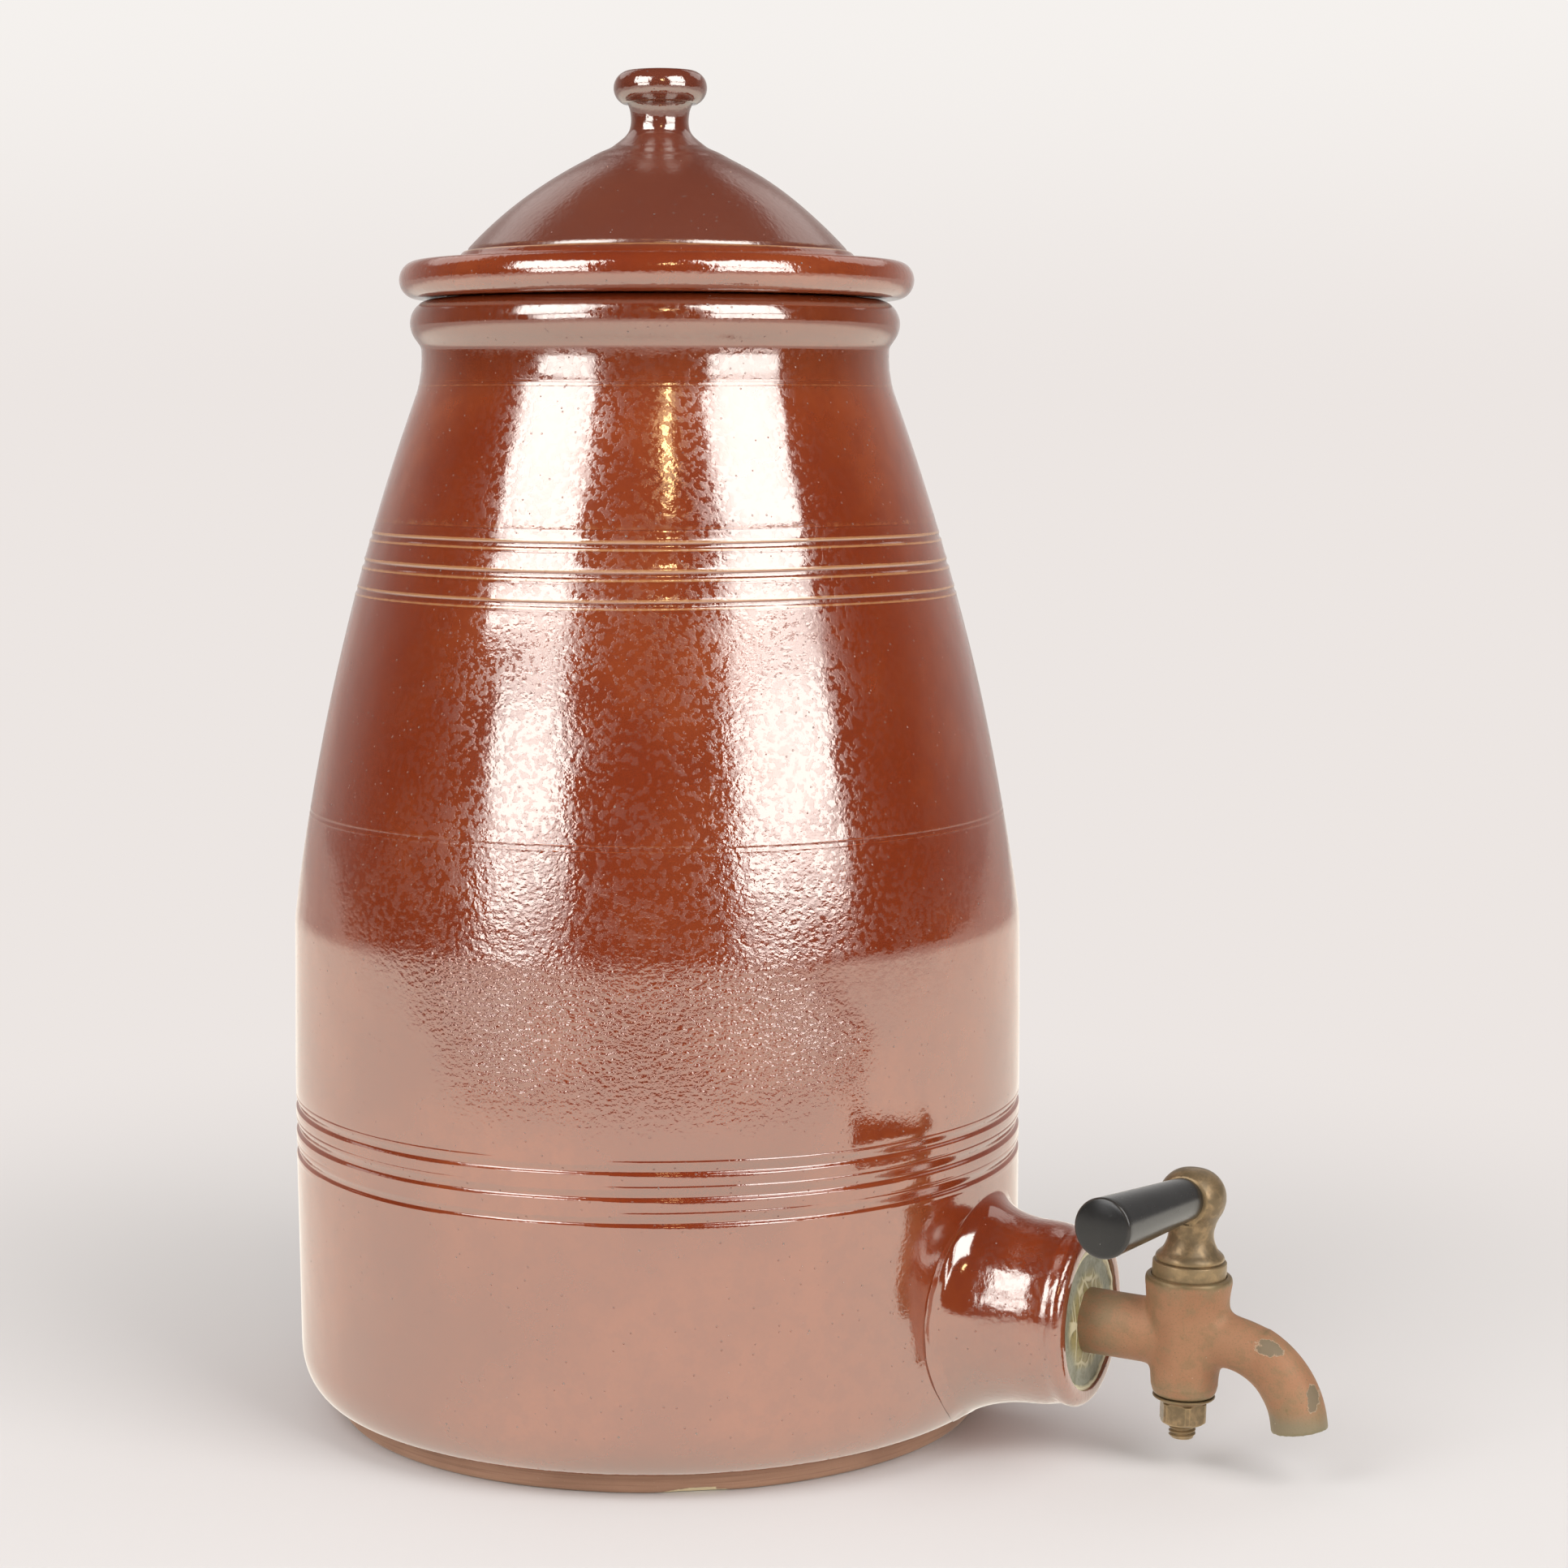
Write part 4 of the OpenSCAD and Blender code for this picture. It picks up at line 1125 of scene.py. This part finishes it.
class WATERPOT_OT_tap_casting(bpy.types.Operator):
    """Casts the tap's body in one: shank, barrel and spout with soft fillets"""

    bl_idname = "waterpot.tap_casting"
    bl_label = "Tap body"

    def execute(self, context):
        tap = context.scene.tap
        up, down = tap.barrel_up, tap.barrel_down
        end_r, top_r = tap.barrel_end_r, tap.barrel_top_r
        barrel = turned([(0, -down), (end_r - 1.4 * MM, -down),
                         (end_r - 0.7 * MM, 0.3 * MM - down), (end_r - 0.2 * MM, 1.2 * MM - down),
                         (end_r + 0.4 * MM, 3.4 * MM - down),
                         (top_r, up - 1.6 * MM), (top_r - 0.2 * MM, up - 0.5 * MM),
                         (top_r - 0.8 * MM, up), (0, up)], 96)
        path = spout_path(tap, 0)
        spout = tube(path, [tap.spout_r * (0.99 + 0.045 * i / len(path))
                            for i in range(len(path))])
        shank = bar(tap.shank_r, -tap.shank_l, 0)
        bm = joined([barrel, spout, shank])
        bm = with_modifier(bm, "REMESH", mode="VOXEL", voxel_size=0.42 * MM)
        # Soft fillets: smoothed most on the side of the spout, less round the shank
        for low_x, high_x, rounds in ((-24, 24, 40), (0, 25, 110)):
            joints = [v for v in bm.verts if 3.5 * MM - down < v.co.z < up - 3 * MM
                      and low_x * MM < v.co.x < high_x * MM]
            soften(bm, joints, rounds)
        soften(bm, bm.verts, 2)
        # Only the seat and the outlet's end of the waterway are cut: the plug and the wall hide
        # the inside of barrel and shank, which stays solid here and is open in the CAD model
        seat = turned([(0, up - SEAT_DEPTH), (tap.collar_r + 0.3 * MM, up - SEAT_DEPTH),
                       (tap.collar_r + 0.3 * MM, up + 2 * MM), (0, up + 2 * MM)], 96)
        bm = cut(bm, seat)
        way = spout_path(tap, 3 * MM)[1:]
        bm = cut(bm, tube(way, [tap.water_r * 1.12] * len(way)))
        mark_edges(bm, 1.6 * MM, 3)
        flake = bm.verts.layers.float.new("flake")
        for vert in bm.verts:
            reach = [Vector(((vert.co.x / MM - x) / a, (vert.co.y / MM - y) / b,
                             (vert.co.z / MM - z) / c)).length
                     for (x, y, z), (a, b, c) in FLAKED_SPOTS]
            vert[flake] = max(0.0, 1 - 0.5 * min(reach))
        bm.transform(tap_place(tap))
        piece("tap_casting", bm, "pot", ["tap_body"], ["tarnished_casting"])
        return {"FINISHED"}


class WATERPOT_OT_plug(bpy.types.Operator):
    """Turns the plug: taper, collar, neck and head, with a cut thread on its end"""

    bl_idname = "waterpot.plug"
    bl_label = "Plug"

    def execute(self, context):
        tap = context.scene.tap
        up, down = tap.barrel_up, tap.barrel_down
        floor = up - SEAT_DEPTH + 0.3 * MM
        top, neck_z, head_z = tap.collar_top, tap.throat_z, tap.head_z
        outline = [(0, 0.1 * MM - down), (6.5 * MM, 0.1 * MM - down),
                   (9.2 * MM, floor - 0.05 * MM), (tap.collar_r - 0.3 * MM, floor),
                   (tap.collar_r, floor + 0.3 * MM),
                   (tap.collar_r + 0.05 * MM, (floor + top) / 2)]
        outline += arc((tap.collar_r - 0.4 * MM, top - 0.4 * MM), 0.4 * MM, 0.4 * MM, 0, 90, 4)
        outline += [(tap.collar_r - 0.9 * MM, top - 0.05 * MM)]
        # Over the collar: in from its radius and up from its top, in mm
        step = [(1.15, 0.1), (0.75, 0.7), (0.9, 1.6), (1.7, 2.5), (2.6, 3.3)]
        body = [*((tap.collar_r - back * MM, top + rise * MM) for back, rise in step),
                (tap.throat_r + 0.75 * MM, top + 5 * MM),
                (tap.throat_r + 0.1 * MM, neck_z - 1.2 * MM),
                (tap.throat_r + 0.1 * MM, neck_z + 1.2 * MM),
                (tap.throat_r + 0.85 * MM, neck_z + 3.6 * MM)]
        head = arc((0, head_z), tap.head_r, tap.head_r, -34, -2, 6)
        head += arc((tap.head_r - tap.head_up, head_z), tap.head_up, tap.head_up, 6, 84, 14)
        outline += smoothed([*body, *head], 0.5 * MM)
        outline += [(0.6 * MM, head_z + tap.head_up), (0, head_z + tap.head_up)]
        bm = turned(outline, 144)
        # Flat seat for the grip, filed on the side of the head
        seat = grip_place(tap)
        to_tap = tap_place(tap).inverted() @ seat
        flat_at = to_tap @ Vector((tap.grip_seat, 0, 0))
        flat_to = (to_tap.to_3x3() @ Vector((1, 0, 0))).normalized()
        high = [f for f in bm.faces if f.calc_center_median().z > neck_z + 4 * MM]
        edges = {e for f in high for e in f.edges}
        verts = {v for f in high for v in f.verts}
        bmesh.ops.bisect_plane(bm, geom=[*verts, *edges, *high], dist=ON_PLANE,
                               plane_co=flat_at, plane_no=flat_to, clear_outer=True)
        rim = [e for e in bm.edges if e.is_boundary]
        seat_face = bmesh.ops.holes_fill(bm, edges=rim, sides=0)["faces"]
        rim = [e for f in seat_face for e in f.edges]
        bmesh.ops.bevel(bm, geom=rim, offset=0.35 * MM, segments=2, profile=0.5,
                        affect="EDGES", material=-1)
        for vert in bm.verts:
            if vert.co.z > neck_z + 3 * MM:
                out = (vert.co - Vector((0, 0, head_z))).normalized()
                vert.co -= out * (0.22 * MM * (0.5 + 0.5 * sway(vert.co, 6.5 * MM, 8.0)))
        bmesh.ops.recalc_face_normals(bm, faces=bm.faces)
        bm = joined([bm, thread(tap)])
        mark_edges(bm, 0.9 * MM, 2)
        bm.transform(tap_place(tap))
        piece("valve_plug", bm, "lever", ["tap_plug"], ["plug_brass"])
        return {"FINISHED"}


def thread(tap):
    """The cut thread of the plug's end, from inside the nut down to its chamfered tip."""
    turns, steps = 7, 48
    low = -tap.barrel_down - 0.1 * MM - tap.washer_h - tap.nut_h - tap.end_l
    pitch, crest, root = tap.pitch, tap.end_r, tap.end_r - 0.62 * MM
    # One tooth: radius, and height as a share of the pitch
    tooth = [(root, 0), (root, 0.1), (crest, 0.44), (crest, 0.6), (root, 0.94), (root, 1)]
    bm = bmesh.new()
    start = low - 1.5 * pitch
    verts = [bm.verts.new((r, 0, start + share * pitch)) for r, share in tooth]
    for a, b in zip(verts, verts[1:]):
        bm.edges.new((a, b))
    bmesh.ops.spin(
        bm, geom=bm.verts[:] + bm.edges[:], cent=(0, 0, 0), axis=(0, 0, 1),
        dvec=(0, 0, pitch / steps), angle=FULL_TURN * turns, steps=steps * turns,
        use_merge=False, use_normal_flip=False, use_duplicate=False)
    bmesh.ops.remove_doubles(bm, verts=bm.verts, dist=MERGE)
    for level, facing in ((low, -1), (start + (turns - 0.5) * pitch, 1)):
        bmesh.ops.bisect_plane(
            bm, geom=bm.verts[:] + bm.edges[:] + bm.faces[:], dist=ON_PLANE,
            plane_co=(0, 0, level), plane_no=(0, 0, facing), clear_outer=True)
        rim = [e for e in bm.edges if e.is_boundary
               and all(abs(v.co.z - level) < 0.01 * MM for v in e.verts)]
        bmesh.ops.holes_fill(bm, edges=rim, sides=0)
    for vert in bm.verts:
        limit = crest - 0.8 * MM + (vert.co.z - low)
        if Vector((vert.co.x, vert.co.y)).length > limit:
            to_radius(vert, limit)
    return closed(bm)


class WATERPOT_OT_fasteners(bpy.types.Operator):
    """Makes the washer and the chamfered nut under the barrel"""

    bl_idname = "waterpot.fasteners"
    bl_label = "Washer and nut"

    def execute(self, context):
        tap = context.scene.tap
        top = -tap.barrel_down - 0.1 * MM
        low = top - tap.washer_h
        hole = tap.end_r - 0.3 * MM
        r, low_r = tap.washer_r, tap.washer_low_r
        ring = [(hole, low), (low_r - 0.3 * MM, low), (low_r, low + 0.15 * MM),
                *smoothed([(low_r + 0.5 * MM, low + 0.55 * MM), (r - 0.35 * MM, top - 0.75 * MM),
                           (r, top - 0.4 * MM)], 0.3 * MM),
                (r - 0.05 * MM, top - 0.12 * MM), (r - 0.2 * MM, top), (hole, top), (hole, low)]
        bm = turned(ring, 112)
        mark_edges(bm, 0.6 * MM)
        bm.transform(tap_place(tap))
        piece("valve_washer", bm, "lever", ["plug_washer"], ["tarnished_casting"])

        nut_top = low
        nut_low = nut_top - tap.nut_h
        flat, corner = tap.nut_w / 2, tap.nut_w / math.sqrt(3)
        bm = turned([(hole, nut_low), (corner - 1.5 * MM, nut_low)]
                    + [(corner, nut_low + (0.25 + 0.4 * i) * MM) for i in range(5)]
                    + [(corner, nut_low + tap.nut_h * i / 6) for i in range(2, 5)]
                    + [(corner, nut_top - (1.85 - 0.4 * i) * MM) for i in range(5)]
                    + [(corner - 1.5 * MM, nut_top), (hole, nut_top), (hole, nut_low)], 180)
        for vert in bm.verts:
            if Vector((vert.co.x, vert.co.y)).length < corner - 1.6 * MM:
                continue
            part = (math.degrees(math.atan2(vert.co.y, vert.co.x)) + 360) % 60 - 30
            side = flat / math.cos(math.radians(part))
            side = min(side, corner - 0.35 * MM)
            from_end = min(vert.co.z - nut_low, nut_top - vert.co.z)
            chamfer = flat - 0.15 * MM + from_end * 1.25
            to_radius(vert, min(side, max(chamfer, corner - 1.6 * MM)))
        closed(bm)
        mark_edges(bm, 0.8 * MM, 1)
        bm.transform(tap_place(tap))
        piece("hex_nut", bm, "lever", ["plug_nut"], ["nut_brass"], 24)
        return {"FINISHED"}


class WATERPOT_OT_grip(bpy.types.Operator):
    """Turns the tapered black grip, and finishes its stud"""

    bl_idname = "waterpot.grip"
    bl_label = "Grip"

    def execute(self, context):
        tap = context.scene.tap
        end, r0, r1 = tap.grip_l, tap.grip_root_r, tap.grip_end_r
        edge = 1.0 * MM
        outline = [(0, 0), (r0 - 0.6 * MM, 0), (r0 - 0.15 * MM, 0.15 * MM), (r0, 0.6 * MM)]
        count = 30
        for i in range(1, count):
            t = i / count
            outline.append((r0 + (r1 - r0) * t, 0.6 * MM + (end - edge - 0.6 * MM) * t))
        outline += arc((r1 - edge, end - edge), edge, edge, 0, 78, 8)
        outline += [(r1 * 0.80, end + 0.12 * MM), (r1 * 0.55, end + 0.45 * MM),
                    (r1 * 0.28, end + 0.64 * MM), (0, end + 0.7 * MM)]
        bm = turned(outline, 144)
        mark_edges(bm, 0.7 * MM)
        bm.transform(grip_place(tap) @ Matrix.Translation((tap.grip_seat, 0, 0))
                     @ Matrix.Rotation(math.pi / 2, 4, "Y"))
        piece("grip_handle", bm, "lever", ["grip"], ["polished_black"])
        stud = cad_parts["grip_stud"]
        stud.data.materials.clear()
        stud.data.materials.append(finish_of("plug_brass"))
        return {"FINISHED"}


# The studio


# Name, azimuth, elevation, distance, size, share of the brightness and roll of each softbox
SOFTBOXES = [("softbox_left", -50, 39, 1.7, (0.98, 1.00), 1.0, 8),
             ("softbox_left_low", -41, 12.5, 1.7, (0.80, 0.46), 0.95, 8),
             ("softbox_right", 46.5, 40, 1.7, (0.98, 1.00), 1.0, 0),
             ("softbox_right_low", 45, 13.5, 1.7, (1.06, 0.50), 0.95, 0),
             ("softbox_back_left", -142, 40, 1.9, (1.1, 0.7), 0.15, 0),
             ("softbox_back_right", 142, 40, 1.9, (1.1, 0.7), 0.15, 0)]


def softbox(name, azimuth, elevation, distance, size, level, roll=0, tint=(1, 1, 1)):
    """A rectangular lamp that faces the pot; azimuth 0 is the camera's side, + to its right."""
    aim = Vector((0, 0, 0.22))
    lamp = bpy.data.lights.new(name, "AREA")
    lamp.shape = "RECTANGLE"
    lamp.size, lamp.size_y = size
    lamp.color = tint
    lamp.energy = level * math.pi * size[0] * size[1]
    around = math.radians(VIEW_TURN + azimuth) - math.pi / 2
    lift = math.radians(elevation)
    out = Vector((math.cos(around) * math.cos(lift), math.sin(around) * math.cos(lift),
                  math.sin(lift)))
    holder = linked(name, lamp)
    holder.location = aim + out * distance
    facing = (-out).to_track_quat("-Z", "Y").to_matrix()
    turn = facing @ Matrix.Rotation(math.radians(roll), 3, "Z")
    holder.rotation_euler = turn.to_euler()


class WATERPOT_OT_studio(bpy.types.Operator):
    """Sets the floor, the room, the softboxes and the camera of the photograph"""

    bl_idname = "waterpot.studio"
    bl_label = "Studio"

    def execute(self, context):
        look = context.scene.studio
        bm = bmesh.new()
        bmesh.ops.create_circle(bm, cap_ends=True, cap_tris=False, segments=96, radius=9.0)
        floor = linked("floor", mesh_of(bm, "floor"))
        f = Finish("pale_floor")
        out = f.node("VectorMath", {"operation": "LENGTH"}, {0: f.place()}, "Value")
        # Lit near the pot, so that it keeps the shadow, and an even pale colour further off
        far = f.step(out, 0.08, 0.62)
        lit = f.node("BsdfDiffuse", (), {"Color": tone((0.60, 0.58, 0.57))})
        shader = f.blend(far * f.direct(), lit, f.glow("Emission", look.floor, 1.0))
        bright = f.glow("Emission", (1.0, 0.95, 0.85), 1.36)
        dim = f.glow("Emission", (1.0, 0.95, 0.90), 0.62)
        mirrored = f.blend(f.step(out, 0.9, 2.2), bright, dim)
        floor.data.materials.append(f.finish(f.blend(f.ray("Glossy"), shader, mirrored)))

        world = bpy.data.worlds.new("room")
        context.scene.world = world
        world.use_nodes = True
        w = Finish(tree=world.node_tree)
        x, y, z = w.parts(w.node("TexCoord", output="Generated"))
        view_side = math.radians(VIEW_TURN)
        behind = y * math.cos(view_side) - x * math.sin(view_side)
        # Mirror-like surfaces see the lit backdrop behind the pot and a dim room before it
        behind = w.math("MAXIMUM", behind, 0.0)
        level = behind * behind * w.step(z, 0.75, 0.10) * 0.85 + 0.02
        shades = w.mix(w.step(z, 0.0, 0.13), look.floor, look.sky)
        room = w.glow("Background", (1, 0.98, 0.96), look.room_level)
        shader = w.blend(w.ray("Glossy"), room, w.glow("Background", look.sky, level))
        shader = w.blend(w.direct(), shader, w.glow("Background", shades, 1.0))
        w.node("OutputWorld", (), {"Surface": shader})

        for name, azimuth, elevation, distance, size, part, roll in SOFTBOXES:
            softbox(name, azimuth, elevation, distance, size, look.box_level * part, roll)
        warm = (1.0, 0.72, 0.36)
        softbox("warm_card", 7.5, 38, 1.7, (0.07, 0.24), look.box_level * 2.2, tint=warm)

        lens = bpy.data.cameras.new("camera")
        lens.lens, lens.sensor_width = 74.53, 36
        camera = linked("camera", lens)
        camera.location = (0.4868, -0.9063, 0.3167)
        look_down = 6.55
        camera.rotation_euler = (math.radians(90 - look_down), 0, math.radians(VIEW_TURN))
        context.scene.camera = camera
        context.scene.view_settings.view_transform = "Standard"
        return {"FINISHED"}


class WATERPOT_PT_panel(bpy.types.Panel):
    """Lists the sizes, the finishes and the steps"""

    bl_idname = "WATERPOT_PT_panel"
    bl_label = "Water pot"
    bl_space_type = "VIEW_3D"
    bl_region_type = "UI"
    bl_category = "Water pot"

    def draw(self, context):
        for step in STEPS:
            self.layout.operator(step.bl_idname)
        for name, group in SETTINGS.items():
            box = self.layout.box()
            box.label(text=group.__doc__)
            for prop in group.__annotations__:
                box.prop(getattr(context.scene, name), prop)


STEPS = [WATERPOT_OT_jar, WATERPOT_OT_boss, WATERPOT_OT_lid, WATERPOT_OT_seal,
         WATERPOT_OT_tap_casting, WATERPOT_OT_plug, WATERPOT_OT_fasteners, WATERPOT_OT_grip,
         WATERPOT_OT_studio]


def register():
    for made in (*SETTINGS.values(), *STEPS, WATERPOT_PT_panel):
        bpy.utils.register_class(made)
    for name, group in SETTINGS.items():
        setattr(bpy.types.Scene, name, bpy.props.PointerProperty(type=group))


def unregister():
    for name in SETTINGS:
        delattr(bpy.types.Scene, name)
    for made in (WATERPOT_PT_panel, *reversed(STEPS), *reversed(SETTINGS.values())):
        bpy.utils.unregister_class(made)


def main():
    register()
    for step in STEPS:
        family, name = step.bl_idname.split(".")
        getattr(getattr(bpy.ops, family), name)()


if __name__ == "__main__":
    main()
